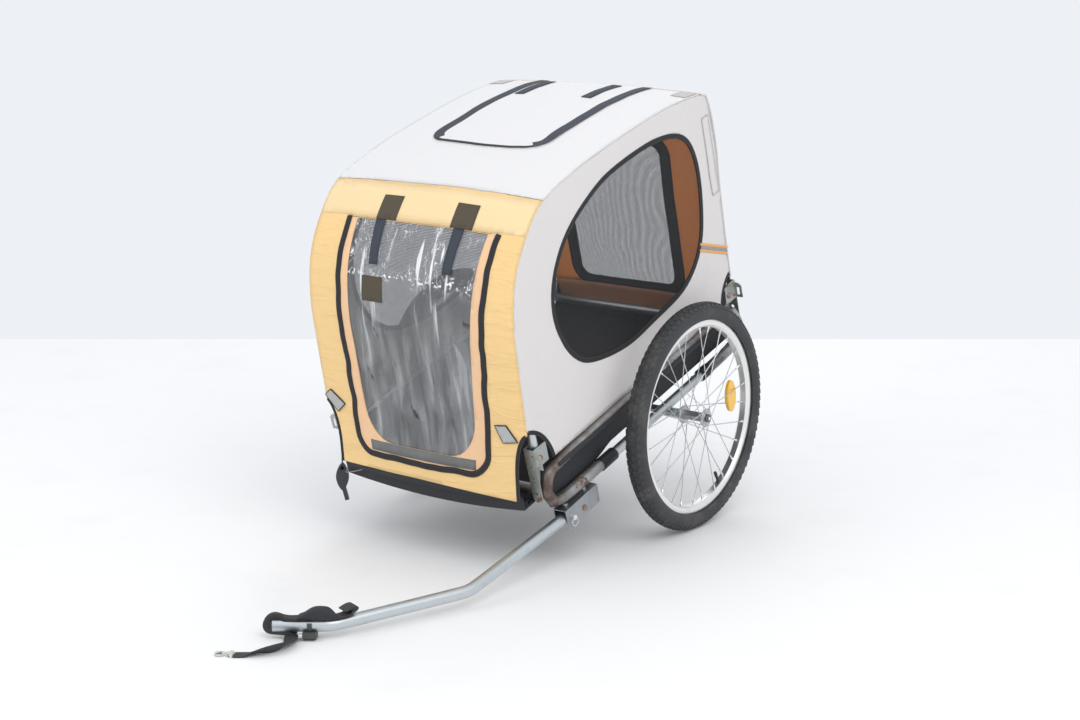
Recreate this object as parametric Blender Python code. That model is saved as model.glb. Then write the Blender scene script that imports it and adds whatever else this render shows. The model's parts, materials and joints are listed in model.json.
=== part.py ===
"""Two-wheeled bicycle trailer with a folding fabric cabin, as separate solids.

Metres, +Z up, +X towards the tow arm, +Y to the trailer's left.
The floor is z = 0 and the trailer is parked nose down on its tow arm.
"""
import bmesh
import bpy
from math import acos, asin, cos, pi, radians, sin, sqrt, tan
from mathutils import Matrix, Vector

# Gaps
CLEAR = 0.0003
SLIDE = 0.0006
TUBE_SIDES = 12
BORE_STEPS = 16
HOLE_STEPS = 12
BOLT_SIDES = 10
BEND_STEPS = 2
THROUGH = 0.05
SIDEWAYS = (0, 1, 0)
UPRIGHT = (0, 0, 1)

# Stance
PITCH = radians(17.3)
AXLE_X = -0.4375

# Wheels
RIM_RADIUS = 0.2105
TYRE_SECTION = 0.0225
TYRE_STAND = 0.0120
RIM_DEPTH = 0.018
RIM_WIDTH = 0.024
RIM_WALL = 0.0015
RIM_WELL = 0.0073
WHEEL_Y = 0.324
WHEEL_STEPS = 28
VALVE_ANGLE = radians(-102.7)
VALVE_RADIUS = 0.0032
VALVE_LENGTH = 0.032

# Hubs and axle
FLANGE_RADIUS = 0.020
FLANGE_WIDTH = 0.003
FLANGE_IN_Y = 0.295
FLANGE_OUT_Y = 0.350
HUB_SHELL_RADIUS = 0.010
HUB_CUP_RADIUS = 0.0130
HUB_NOSE = 0.0148
HUB_STEP = 0.005
PIN_RADIUS = 0.006
PIN_HEAD_RADIUS = 0.0092
PIN_HEAD_WIDTH = 0.0032
PIN_GRIP = 0.0745
BUTTON_RADIUS = 0.0040
BUTTON_TRAVEL = 0.0025
AXLE_TUBE_RADIUS = 0.0105
SPOKES = 28
SPOKE_RADIUS = 0.0010
SPOKE_HOLE_RADIUS = 0.0165
SPOKE_CROSSES = 3

# Reflector in each wheel
REFLECTOR_ANGLE = radians(190.3)
REFLECTOR_INSET = 0.0525
REFLECTOR_LENGTH = 0.072
REFLECTOR_WIDTH = 0.036
REFLECTOR_THICKNESS = 0.0102

# Side frames
RAIL_Y = 0.262
RAIL_RADIUS = 0.0125
RAIL_WALL = 0.0011
RAIL_PITCH = 0.0850
FRAME_FRONT_X = 0.4475
FRAME_REAR_X = -0.2975
FRAME_BEND = 0.040
FRONT_LEG_X = 0.2222
REAR_LEG_X = -0.1270
PLUG_DEPTH = 0.030
BORE_RADIUS = RAIL_RADIUS - RAIL_WALL
SLIM_RADIUS = BORE_RADIUS - CLEAR
FERRULE_LENGTH = 0.047
REAR_FERRULE_LENGTH = 0.028
FERRULE_LIP = 0.0035
FERRULE_WALL = 0.0018
KNUCKLE_X = -0.111
KNUCKLE_RADIUS = 0.0045
KNUCKLE_REACH = 0.0135
CROSSBAR_RADIUS = 0.011

# Corner brackets and hoops
HOOP_Y = 0.2493
HOOP_RADIUS = 0.0095
BRACKET_GAP = 0.0200
BRACKET_WALL = 0.0020
BRACKET_LOW_Z = 0.044
BRACKET_HIGH_Z = 0.165
BRACKET_EAR_Y = 0.277
FRONT_BRACKET_DEPTH = 0.0423
REAR_BRACKET_DEPTH = 0.0443
FRONT_PIVOT_X = 0.4450
REAR_PIVOT_X = -0.2815
PIVOT_Z = 0.140
BRACKET_CORNER = 0.006
BRACKET_CHAMFER = 0.008
EAR_HEIGHT = 0.036
WINDOW_SIDE = (0.003, 0.010)
WINDOW_HEIGHT = (0.006, 0.024)
BRACKET_TAPER = 0.018
BRACKET_HOLE = 0.0040
BRACKET_HOLES_Z = (0.0645, 0.098, 0.127)
BRACKET_HOLE_IN = 0.010
PIVOT_RADIUS = 0.003
PIVOT_HEAD_RADIUS = 0.0065
PIVOT_HEAD_WIDTH = 0.0035
FRONT_BAR = (0.287, 0.6060)
REAR_BAR = (-0.2985, 0.5850)
HOOP_CORNER = 0.055
FRONT_KNEE = (0.009, 0.260)
FRONT_SHOULDER = (0.057, 0.388)
FRONT_HOOP_RADII = [0.150, 0.120]

# Cabin fabric
CABIN_Y = 0.2625
FABRIC = 0.003
CROWN = 0.014
REAR_CROWN = 0.006
CABIN_COLUMNS = 6
CABIN_CENTRE = (0.080, 0.280)
CROWN_FADE = 0.12
PROFILE_STEPS = 2
FRONT_SPAN = (0.30, 0.60)
ROOF_SPAN = (0.50, 0.75)
REAR_SPAN = (-0.40, -0.20)
FRONT_PROFILE = [(0.498, 0.066), (0.474, 0.190), (0.460, 0.320), (0.4465, 0.425), (0.415, 0.513),
                 (0.358, 0.580)]
SEAM_PROFILE = (0.287, 0.625)
ROOF_PROFILE = [(0.160, 0.640), (0.012, 0.641), (-0.150, 0.634)]
ROOF_END_PROFILE = (-0.285, 0.613)
REAR_PROFILE = [(-0.313, 0.585), (-0.3185, 0.490), (-0.308, 0.383), (-0.300, 0.250), (-0.2955, 0.120)]
WINDOW_OUTLINE = [(-0.184, 0.560), (-0.230, 0.500), (-0.233, 0.400), (-0.205, 0.302), (-0.130, 0.243),
                  (0.000, 0.224), (0.130, 0.223), (0.255, 0.260), (0.315, 0.350), (0.306, 0.450),
                  (0.230, 0.533), (0.090, 0.582), (-0.070, 0.586)]
NET = 0.0010
DOOR_HALF_TOP = 0.190
DOOR_HALF_LOW = 0.170
DOOR_TOP_Z = 0.5780
DOOR_LOW_Z = 0.112
DOOR_CORNER = 0.045
DOOR_TOP_CORNER = 0.002
DOOR_SEAM = 0.0008
PANE_HALF_TOP = 0.158
PANE_HALF_LOW = 0.140
PANE_TOP_Z = 0.562
PANE_LOW_Z = 0.142
PANE_CORNER = 0.075
PANE_TOP_CORNER = 0.010
HINGE_LIFT = (0.018, 0.012)
REAR_NET_SIDE = (-0.160, 0.125)
REAR_NET_HEIGHT = (0.125, 0.480)
REAR_NET_CORNER = 0.040
ROOF_NET = (-0.245, 0.085)
ROOF_NET_HALF = 0.115
ROOF_NET_CORNER = 0.030
FLAP_THICKNESS = 0.0018
FLAP = (-0.280, 0.130)
FLAP_HALF = 0.148
FLAP_CORNER = 0.050
RELIEF_REACH = 0.004
RELIEF_SIDE = 0.003
FRONT_RELIEF = (0.040, 0.055)
REAR_RELIEF = (0.014, 0.008)
SIDE_FRONT_RELIEF = ((0.490, 0.110), (0.087, 0.102))
SIDE_REAR_RELIEF = ((-0.325, 0.110), (0.078, 0.088))

# Fabric tub
TUB_FRONT_X = 0.4905
TUB_REAR_X = -0.3115
TUB_WALL = 0.0025
TUB_FLOOR_Z = 0.041
TUB_SAG = 0.019
TUB_SIDE_Z = 0.118
TUB_LIP_Z = 0.071
TUB_SIDE_GAP = 0.0005
TUB_BOLT_GAP = 0.0008
TUB_BRACKET_GAP = 0.002

# Tow arm and its channel
ARM_RADIUS = 0.013
ARM_WALL = 0.0016
ARM_PIVOT = (0.360, RAIL_Y, -0.0225)
ARM_STUB = 0.019
ARM_BEND = (0.7237, 0.2620, 0.0042)
ARM_KNEE_AT = (0.53108, 0.1635, 0.02555)
ARM_TIP_AT = (0.59575, 0.0740, 0.02477)
ARM_BEND_RADIUS = 0.110
ARM_KNEE_RADIUS = 0.060
CHANNEL_GAP = 0.0274
CHANNEL_WALL = 0.0020
CHANNEL_X = (0.309, 0.4215)
CHANNEL_TOP_Z = 0.0045
CHANNEL_LOW_Z = -0.0380
CHANNEL_STUDS_X = (0.335, 0.400)
STUD_RADIUS = 0.005
BOLT_RADIUS = 0.0035
BOLT_HEAD_RADIUS = 0.0070
BOLT_HEAD_WIDTH = 0.0040
LOCK_AHEAD = 0.043
LOCK_RADIUS = 0.0035
LOCK_SLOT = 0.0100
LOCK_SHIFT = 0.0008
LOCK_NOSE = 0.004
LOCK_COLLAR = 0.006
PULL_RING = 0.0095
PULL_WIRE = 0.0011
CAP_PLUG = 0.018
CAP_FLANGE = 0.004

# Hitch pieces on the arm's tip, measured back from the tip
CLAMP_BACK = (0.0560, 0.0810)
CLAMP_OUTLINE = [(-0.013, 0.004), (-0.009, 0), (0.006, 0), (0.0205, 0.006), (0.0205, 0.0165),
                 (-0.013, 0.0165)]
BAND_WIDTH = 0.009
BAND_WALL = 0.0020
NUT_SIDE = 0.0165
NUT_HEIGHT = 0.0100
NUT_WING = 0.0085
NUT_LENGTH = 0.007
WING_THICKNESS = 0.0018
SCREW_RADIUS = 0.0022
WEB_WIDTH = 0.025
WEB_THICKNESS = 0.0020
WEB_LIFT = 0.0003
PAD_HALF = 0.0125
PAD_OUTLINE = [(0.046, 0.0060), (0.058, 0.0100), (0.070, 0.0195), (0.080, 0.0225), (0.096, 0.0225),
               (0.106, 0.0180), (0.118, 0.0060)]
PAD_SECTION = [(-1, 0), (1, 0), (1, 0.72), (0.72, 1), (-0.72, 1), (-1, 0.72)]
FOLD_ROUTE = [(0.128, 0.0105), (0.140, 0.0150), (0.151, 0.0160), (0.156, 0.0110), (0.150, 0.0060),
              (0.138, 0.0013)]
TOP_RUN = (0.122, 0.108, 0.094, 0.075, 0.055, 0.036)
LOOP_ROUTE = [(-0.020, 0.0430), (-0.007, 0.0480), (0.006, 0.0450), (0.0150, 0.0350), (0.0175, 0.0240),
              (0.0140, 0.0150), (0.0050, 0.0095), (-0.0120, 0.0090), (-0.0300, 0.0090), (-0.0440, 0.0090)]
STRAP_ROUTE = [(-0.0345, 0.0060), (-0.0350, 0.0240), (-0.0355, 0.0416), (-0.0300, 0.0620),
               (-0.0194, 0.0770), (-0.0060, 0.0862), (0.0100, 0.0895), (0.0290, 0.0905), (0.0465, 0.0920),
               (0.0575, 0.0915)]
STRAP_LIFT = 0.0003
STRAP_ROLL = radians(52)
ROLL_SPAN = (0.10, 0.85)
DROP_SPAN = 0.25
STRAP_DROP = 0.0066
HOOK_START = 0.0588
HOOK_SIDE = 0.0913
HOOK_THICKNESS = 0.0050
HOOK_LENGTH = 0.034
HOOK_RADIUS = 0.0095
HOOK_WIRE = 0.0034
MOUTH = (-0.0052, 0.0060)
GATE_OFFSET = 0.0033
GATE_HALF = 0.0012
GATE_START = 0.0009
GATE_INSET = 0.0008
MOUTH_LOW = 0.0010
EYE_LENGTH = 0.0055
SHANK_HALF = 0.0045
RING_STEPS = 18

# Tethered pin on the right front bracket
TETHER_Y = -0.2560
TETHER_Z = 0.0850
TETHER_RADIUS = 0.0015
TETHER_DROP = 0.034
TETHER_TURN = [(0.0030, 0.0), (0.0060, 0.0015), (0.0075, 0.0060)]
TETHER_OUT = 0.0078
TETHER_STEPS = 5
HANDLE_HEIGHT = 0.060
HANDLE_WIDTH = 0.028
HANDLE_THICKNESS = 0.009
HANDLE_HOLE = 0.0045
HANDLE_HOLE_Z = -0.0099
GRIP_STEPS = 20
GRIP_SWELL = (0.62, 0.38)
PEG_SIDE = 0.003
PEG_RISE = 0.004
TETHER_PIN_SIZE = 0.0085
TETHER_PIN_LENGTH = 0.026
TETHER_PIN_TILT = radians(14)
TETHER_FACING = radians(36.8)
LANYARD_RADIUS = 0.0008
LANYARD_EDGE = (0.42, -0.011)
LANYARD_OUT = 0.0030
LANYARD_RISE = 0.0015
LANYARD_CORNER_Y = -0.2365
LANYARD_SLACK = [(0.0060, -0.2140, 0.0480), (0.0050, -0.1880, 0.0570), (0.0015, -0.1680, 0.0640),
                 (0.0, -0.1650, 0.0640)]

# Sizes that follow
RAIL_LOW_Z = AXLE_TUBE_RADIUS + SLIM_RADIUS + CLEAR
RAIL_HIGH_Z = RAIL_LOW_Z + RAIL_PITCH
RAIL_MID_Z = (RAIL_LOW_Z + RAIL_HIGH_Z) / 2
RAIL_TOP_Z = RAIL_HIGH_Z + RAIL_RADIUS
BRACKET_IN_Y = HOOP_Y - BRACKET_GAP / 2 - BRACKET_WALL
BRACKET_OUT_Y = HOOP_Y + BRACKET_GAP / 2 + BRACKET_WALL
FRONT_WEB_X = FRAME_FRONT_X + RAIL_RADIUS + CLEAR
REAR_WEB_X = FRAME_REAR_X - RAIL_RADIUS - CLEAR
HUB_IN_Y = FLANGE_IN_Y - HUB_NOSE
HUB_FACE_Y = FLANGE_OUT_Y + FLANGE_WIDTH
AXLE_HALF = HUB_IN_Y - SLIDE
RIM_INNER = RIM_RADIUS - RIM_DEPTH
TYRE_RADIUS = RIM_RADIUS + TYRE_STAND + TYRE_SECTION
CHASSIS = Matrix.Translation((AXLE_X, 0, TYRE_RADIUS)) @ Matrix.Rotation(PITCH, 4, "Y")
ARM_KNEE = CHASSIS.inverted() @ Vector(ARM_KNEE_AT)
ARM_TIP = CHASSIS.inverted() @ Vector(ARM_TIP_AT)


# Scene helpers
def clear_scene():
    for thing in list(bpy.data.objects):
        bpy.data.objects.remove(thing, do_unlink=True)


def surface(name, colour, roughness, metallic=0.0):
    """A Principled material of one colour, made once for each name."""
    found = bpy.data.materials.get(name)
    if found:
        return found
    material = bpy.data.materials.new(name)
    material.use_nodes = True
    shader = material.node_tree.nodes["Principled BSDF"]
    shader.inputs["Base Color"].default_value = (*colour, 1.0)
    shader.inputs["Roughness"].default_value = roughness
    shader.inputs["Metallic"].default_value = metallic
    return material


def steel():
    return surface("galvanised_steel", (0.62, 0.64, 0.64), 0.42, 1.0)


def plated():
    return surface("bright_plating", (0.80, 0.81, 0.82), 0.22, 1.0)


def black_fabric():
    return surface("black_fabric", (0.035, 0.036, 0.040), 0.85)


def pale_fabric():
    return surface("pale_fabric", (0.80, 0.78, 0.77), 0.8)


def yellow_fabric():
    return surface("yellow_fabric", (0.93, 0.62, 0.27), 0.8)


def netting():
    return surface("netting", (0.10, 0.11, 0.12), 0.7)


def black_plastic():
    return surface("black_plastic", (0.03, 0.03, 0.033), 0.5)


def holder(name, at=(0, 0, 0), parent=None):
    """An empty at a place in the chassis frame, on the joint's axis of what it carries."""
    empty = bpy.data.objects.new(name, None)
    bpy.context.collection.objects.link(empty)
    empty["at"] = Vector(at)
    if parent is None:
        empty.matrix_world = CHASSIS @ Matrix.Translation(at)
    else:
        empty.parent = parent
        empty.location = Vector(at) - Vector(parent["at"])
    return empty


def piece(name, bm, material, parent):
    """Make an object of a bmesh that is drawn in the chassis frame."""
    bmesh.ops.remove_doubles(bm, verts=bm.verts, dist=1e-6)
    bmesh.ops.recalc_face_normals(bm, faces=bm.faces)
    bmesh.ops.transform(bm, matrix=Matrix.Translation(-Vector(parent["at"])), verts=bm.verts)
    mesh = bpy.data.meshes.new(name)
    bm.to_mesh(mesh)
    bm.free()
    mesh.materials.append(material)
    mesh.shade_smooth()
    mesh.set_sharp_from_angle(angle=radians(35))
    thing = bpy.data.objects.new(name, mesh)
    bpy.context.collection.objects.link(thing)
    thing.parent = parent
    return thing


def cord(name, route, radius, material, parent):
    """A round cord through a route in the chassis frame, as a bevelled curve with filled ends."""
    curve = bpy.data.curves.new(name, "CURVE")
    curve.dimensions = "3D"
    curve.bevel_depth = radius
    curve.bevel_resolution = 2
    curve.use_fill_caps = True
    spline = curve.splines.new("POLY")
    spline.points.add(len(route) - 1)
    for point, place in zip(spline.points, route):
        point.co = (*(Vector(place) - Vector(parent["at"])), 1.0)
    curve.materials.append(material)
    thing = bpy.data.objects.new(name, curve)
    bpy.context.collection.objects.link(thing)
    thing.parent = parent
    return thing


# Paths and frames
def bent(corners, radii, steps=BEND_STEPS):
    """A path through the corners, each inner one rounded to its bend radius."""
    corners = [Vector(c) for c in corners]
    path = [corners[0]]
    for before, corner, after, radius in zip(corners, corners[1:], corners[2:], radii):
        back = (before - corner).normalized()
        on = (after - corner).normalized()
        half = acos(max(-1.0, min(1.0, back.dot(on)))) / 2
        centre = corner + (back + on).normalized() * radius / sin(half)
        start = corner + back * radius / tan(half) - centre
        end = corner + on * radius / tan(half) - centre
        sweep = start.angle(end)
        for k in range(steps + 1):
            t = k / steps
            spoke = (start * sin((1 - t) * sweep) + end * sin(t * sweep)) / sin(sweep)
            path.append(centre + spoke)
    path.append(corners[-1])
    return path


def smooth(points, steps=3, closed=False):
    """A smooth curve through the points, each span cut into steps."""
    points = [Vector(p) for p in points]
    count = len(points)
    curve = []
    for i in range(count if closed else count - 1):
        if closed:
            a, b, c, d = (points[(i + k) % count] for k in (-1, 0, 1, 2))
        else:
            b, c = points[i], points[i + 1]
            a = points[i - 1] if i else b * 2 - c
            d = points[i + 2] if i + 2 < count else c * 2 - b
        for k in range(steps):
            t = k / steps
            curve.append((b * 2 + (c - a) * t + (a * 2 - b * 5 + c * 4 - d) * t ** 2
                          + (b * 3 - a - c * 3 + d) * t ** 3) / 2)
    if not closed:
        curve.append(points[-1])
    return curve


def tangents(path):
    ahead = [(q - p).normalized() for p, q in zip(path, path[1:])]
    inner = [(a + b).normalized() for a, b in zip(ahead, ahead[1:])]
    return [ahead[0]] + inner + [ahead[-1]]


def frame_at(point, across, upright, along):
    """A matrix whose X, Y and Z axes are the three given directions."""
    turn = Matrix((across, upright, along)).transposed().to_4x4()
    return Matrix.Translation(point) @ turn


def frames_along(path):
    """A frame at each point of a path, its Z along the path, carried on without twist."""
    ways = tangents(path)
    guide = Vector((0, 1, 0)) if abs(ways[0].y) < 0.9 else Vector((1, 0, 0))
    across = ways[0].cross(guide).normalized()
    frames = []
    last = ways[0]
    for point, way in zip(path, ways):
        across = (last.rotation_difference(way) @ across).normalized()
        frames.append(frame_at(point, across, way.cross(across), way))
        last = way
    return frames


def aim(at, direction):
    """A frame at a point whose Z looks in a direction."""
    turn = Vector(UPRIGHT).rotation_difference(Vector(direction))
    return Matrix.Translation(at) @ turn.to_matrix().to_4x4()


# Solids
def lofted(rows):
    """Closed solid through a row of outlines in space, which all have as many points."""
    bm = bmesh.new()
    rings = [[bm.verts.new(place) for place in row] for row in rows]
    bm.faces.new(rings[0])
    bm.faces.new(rings[-1])
    for ring, following in zip(rings, rings[1:]):
        for k in range(len(ring)):
            bm.faces.new((ring[k - 1], ring[k], following[k], following[k - 1]))
    bmesh.ops.recalc_face_normals(bm, faces=bm.faces)
    return bm


def carried(section, frames):
    """Closed solid: a flat outline carried through a row of frames."""
    return lofted([[frame @ Vector((x, y, 0)) for x, y in section] for frame in frames])


def circle(radius, sides):
    return [(radius * cos(2 * pi * k / sides), radius * sin(2 * pi * k / sides)) for k in range(sides)]


def rod(path, radius, sides=TUBE_SIDES):
    return carried(circle(radius, sides), frames_along([Vector(p) for p in path]))


def pipe(path, radius, wall, sides=TUBE_SIDES):
    """A tube that is open at both ends."""
    path = [Vector(p) for p in path]
    core = [path[0] + (path[0] - path[1]).normalized() * wall] + path[1:-1]
    core.append(path[-1] + (path[-1] - path[-2]).normalized() * wall)
    return cut(rod(path, radius, sides), rod(core, radius - wall, sides))


def turned(profile, steps, place):
    """Closed solid of revolution. The profile is (radius, height) about the Z of its place."""
    bm = bmesh.new()
    verts = [bm.verts.new((r, 0, h)) for r, h in profile]
    edges = [bm.edges.new(pair) for pair in zip(verts, verts[1:])]
    if profile[0][0] > 0:
        edges.append(bm.edges.new((verts[-1], verts[0])))
    bmesh.ops.spin(bm, geom=verts + edges, cent=(0, 0, 0), axis=UPRIGHT, angle=2 * pi, steps=steps,
                   use_merge=True)
    bmesh.ops.remove_doubles(bm, verts=bm.verts, dist=1e-6)
    bmesh.ops.dissolve_degenerate(bm, edges=bm.edges, dist=1e-7)
    bmesh.ops.recalc_face_normals(bm, faces=bm.faces)
    bmesh.ops.transform(bm, matrix=place, verts=bm.verts)
    return bm


def disc(radius, low, high, steps, place):
    return turned([(0, low), (radius, low), (radius, high), (0, high)], steps, place)


def block(low, high):
    """A box between two corners."""
    bm = bmesh.new()
    bmesh.ops.create_cube(bm, size=1.0)
    size = [b - a for a, b in zip(low, high)]
    centre = [(a + b) / 2 for a, b in zip(low, high)]
    bmesh.ops.scale(bm, vec=[abs(s) for s in size], verts=bm.verts)
    bmesh.ops.translate(bm, vec=centre, verts=bm.verts)
    return bm


def slab(outline, low, high, axis):
    """A flat outline extruded along an axis. The outline is in the two other axes, in X, Y, Z order."""
    directions = {"X": ((0, 1, 0), (0, 0, 1), (1, 0, 0)), "Y": ((1, 0, 0), (0, 0, 1), (0, 1, 0)),
                  "Z": ((1, 0, 0), (0, 1, 0), (0, 0, 1))}
    across, upright, along = (Vector(d) for d in directions[axis])
    frames = [frame_at(along * level, across, upright, along) for level in (low, high)]
    return carried(outline, frames)


def combine(first, second, operation):
    """Boolean of two closed bmeshes."""
    pair = []
    for bm in (first, second):
        mesh = bpy.data.meshes.new("operand")
        bm.to_mesh(mesh)
        bm.free()
        thing = bpy.data.objects.new("operand", mesh)
        bpy.context.collection.objects.link(thing)
        pair.append(thing)
    modifier = pair[0].modifiers.new("combine", "BOOLEAN")
    modifier.operation = operation
    modifier.solver = "EXACT"
    modifier.object = pair[1]
    bpy.context.view_layer.update()
    made = bpy.data.meshes.new_from_object(pair[0].evaluated_get(bpy.context.evaluated_depsgraph_get()))
    result = bmesh.new()
    result.from_mesh(made)
    for thing in pair:
        mesh = thing.data
        bpy.data.objects.remove(thing, do_unlink=True)
        bpy.data.meshes.remove(mesh)
    bpy.data.meshes.remove(made)
    return result


def cut(first, *cutters):
    for cutter in cutters:
        first = combine(first, cutter, "DIFFERENCE")
    return first


def join(first, *others):
    for other in others:
        first = combine(first, other, "UNION")
    return first


def common(first, second):
    return combine(first, second, "INTERSECT")


def gathered(parts):
    """Several separate closed shapes in one bmesh, for use as one operand."""
    whole = bmesh.new()
    for part in parts:
        mesh = bpy.data.meshes.new("share")
        part.to_mesh(mesh)
        part.free()
        whole.from_mesh(mesh)
        bpy.data.meshes.remove(mesh)
    return whole


def rounded_rect(low, high, corner, steps=4, top_corner=None):
    """Outline of an upright rectangle with round corners. The top corners may have their own radius."""
    (x0, z0), (x1, z1) = low, high
    top = corner if top_corner is None else top_corner
    centres = [(x1 - top, z1 - top, top, 0), (x0 + top, z1 - top, top, 1),
               (x0 + corner, z0 + corner, corner, 2), (x1 - corner, z0 + corner, corner, 3)]
    outline = []
    for cx, cz, radius, quarter in centres:
        for k in range(steps + 1):
            angle = (quarter + k / steps) * pi / 2
            outline.append((cx + radius * cos(angle), cz + radius * sin(angle)))
    return outline


def tapered(outline, low_z, high_z, low_half, high_half):
    """Scale an outline's half width from its value at the bottom to its value at the top."""
    widest = max(abs(y) for y, _ in outline)
    slope = (high_half - low_half) / (high_z - low_z)
    return [(y / widest * (low_half + slope * (z - low_z)), z) for y, z in outline]


# Wheels
def wheel_place(side):
    """The wheel's middle, turned so that one facet's edge stands on the floor."""
    return Matrix.Rotation(-PITCH, 4, "Y") @ aim((0, side * WHEEL_Y, 0), (0, 1, 0))


def tyre(side):
    centre = TYRE_RADIUS - TYRE_SECTION
    seat = RIM_RADIUS + SLIDE
    half = asin(min(1.0, sqrt(max(0.0, 1 - ((centre - seat) / TYRE_SECTION) ** 2))))
    limit = pi - half
    bead = RIM_WIDTH / 2 - RIM_WALL - CLEAR
    turns = [limit * k / 3 for k in range(-3, 4)]
    arc = [(centre + TYRE_SECTION * cos(a), TYRE_SECTION * sin(a)) for a in turns]
    base = RIM_RADIUS - RIM_WELL + CLEAR
    profile = [(base, -bead), (seat, -bead)] + arc + [(seat, bead), (base, bead)]
    return turned(profile, WHEEL_STEPS, wheel_place(side))


def rim(side):
    half = RIM_WIDTH / 2
    shoulder = RIM_RADIUS - RIM_DEPTH * 0.7
    well = RIM_RADIUS - RIM_WELL
    profile = [(RIM_RADIUS, half), (shoulder, half), (RIM_INNER, half * 0.62), (RIM_INNER, -half * 0.62),
               (shoulder, -half), (RIM_RADIUS, -half), (RIM_RADIUS, RIM_WALL - half),
               (well, RIM_WALL - half), (well, half - RIM_WALL), (RIM_RADIUS, half - RIM_WALL)]
    ring = turned(profile, WHEEL_STEPS, wheel_place(side))
    inward = Vector((-cos(VALVE_ANGLE), 0, -sin(VALVE_ANGLE)))
    seat = Vector((0, side * WHEEL_Y, 0)) - inward * (RIM_INNER + RIM_DEPTH / 4)
    stem = disc(VALVE_RADIUS, 0, VALVE_LENGTH, 10, aim(seat, inward))
    return join(ring, stem)


def spoke_ends(side):
    """The inner and outer end of each spoke, half of them from each flange."""
    per_flange = SPOKES // 2
    reach = RIM_INNER * cos(pi / WHEEL_STEPS) - CLEAR
    for k in range(SPOKES):
        outer = k % 2 == 0
        leading = k % 4 < 2
        rim_angle = 2 * pi * (k + 0.5) / SPOKES
        lacing = 2 * pi * SPOKE_CROSSES / per_flange * (1 if leading else -1)
        hub_y = (FLANGE_OUT_Y if outer else FLANGE_IN_Y) + FLANGE_WIDTH * (0.3 if leading else -0.3)
        rim_y = WHEEL_Y + (0.002 if outer else -0.002)
        inner = Vector((SPOKE_HOLE_RADIUS * cos(rim_angle + lacing), side * hub_y,
                        SPOKE_HOLE_RADIUS * sin(rim_angle + lacing)))
        yield inner, Vector((reach * cos(rim_angle), side * rim_y, reach * sin(rim_angle)))


def hub(side):
    bore = PIN_RADIUS + CLEAR
    half = FLANGE_WIDTH / 2
    low, high = FLANGE_IN_Y, FLANGE_OUT_Y
    shell = HUB_SHELL_RADIUS
    step = HUB_IN_Y + HUB_STEP
    cup, face = HUB_CUP_RADIUS, HUB_FACE_Y
    profile = [(bore, HUB_IN_Y), (shell - half, HUB_IN_Y), (shell - half, step), (cup, step + CLEAR),
               (cup, low - half), (FLANGE_RADIUS, low - half), (FLANGE_RADIUS, low + half),
               (shell, low + 3 * half), (shell, high - 3 * half), (FLANGE_RADIUS, high - half),
               (FLANGE_RADIUS, high + half), (cup, high + half), (cup, face + half),
               (cup - half, face + half), (PIN_HEAD_RADIUS + 2 * CLEAR, face), (bore, face)]
    body = turned(profile, TUBE_SIDES, aim((0, 0, 0), (0, side, 0)))
    spokes = []
    for inner, outer in spoke_ends(side):
        spokes.append(disc(SPOKE_RADIUS, 0, (outer - inner).length, 4, aim(inner, outer - inner)))
    return join(body, gathered(spokes))


def axle_pin(side):
    base = HUB_FACE_Y + CLEAR
    top = base + PIN_HEAD_WIDTH
    bore = BUTTON_RADIUS + CLEAR
    end = AXLE_HALF - PIN_GRIP
    depth = top - 4 * BUTTON_RADIUS - BUTTON_TRAVEL
    profile = [(0, end), (PIN_RADIUS * 0.6, end), (PIN_RADIUS, end + PIN_RADIUS / 2), (PIN_RADIUS, base),
               (PIN_HEAD_RADIUS, base), (PIN_HEAD_RADIUS, top), (bore, top), (bore, depth), (0, depth)]
    return turned(profile, TUBE_SIDES, aim((0, 0, 0), (0, side, 0)))


def button(side):
    face = HUB_FACE_Y + CLEAR + PIN_HEAD_WIDTH
    low = face - 3 * BUTTON_RADIUS
    high = face + BUTTON_TRAVEL + CLEAR
    edge = BUTTON_RADIUS * 0.8
    profile = [(0, low), (BUTTON_RADIUS, low), (BUTTON_RADIUS, high - 0.0005), (edge, high), (0, high)]
    return turned(profile, TUBE_SIDES, aim((0, 0, 0), (0, side, 0)))


def reflector(side):
    """Oval reflector that lies between the two sets of spokes, its long axis along the wheel's turn."""
    radial = Vector((cos(REFLECTOR_ANGLE), 0, sin(REFLECTOR_ANGLE)))
    across = Vector((-radial.z, 0, radial.x))
    centre = radial * (RIM_INNER - REFLECTOR_INSET) + Vector((0, side * WHEEL_Y, 0))
    outline = [(REFLECTOR_LENGTH / 2 * x, REFLECTOR_WIDTH / 2 * y) for x, y in circle(1.0, 20)]
    face = frame_at(centre, across, radial, across.cross(radial))
    half = REFLECTOR_THICKNESS / 2
    frames = []
    for level, share in ((-half, 0.88), (-half * 0.6, 1.0), (half * 0.6, 1.0), (half, 0.88)):
        frames.append(face @ Matrix.Translation((0, 0, level)) @ Matrix.Diagonal((share, share, 1, 1)))
    return carried(outline, frames)


# Side frames
def side_frame(side):
    y = side * RAIL_Y
    low, high = RAIL_LOW_Z, RAIL_HIGH_Z
    corners = [(FRONT_LEG_X, y, low), (FRAME_FRONT_X, y, low), (FRAME_FRONT_X, y, high),
               (FRAME_REAR_X, y, high), (FRAME_REAR_X, y, low), (REAR_LEG_X, y, low)]
    return pipe(bent(corners, [FRAME_BEND] * 4), RAIL_RADIUS, RAIL_WALL)


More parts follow.
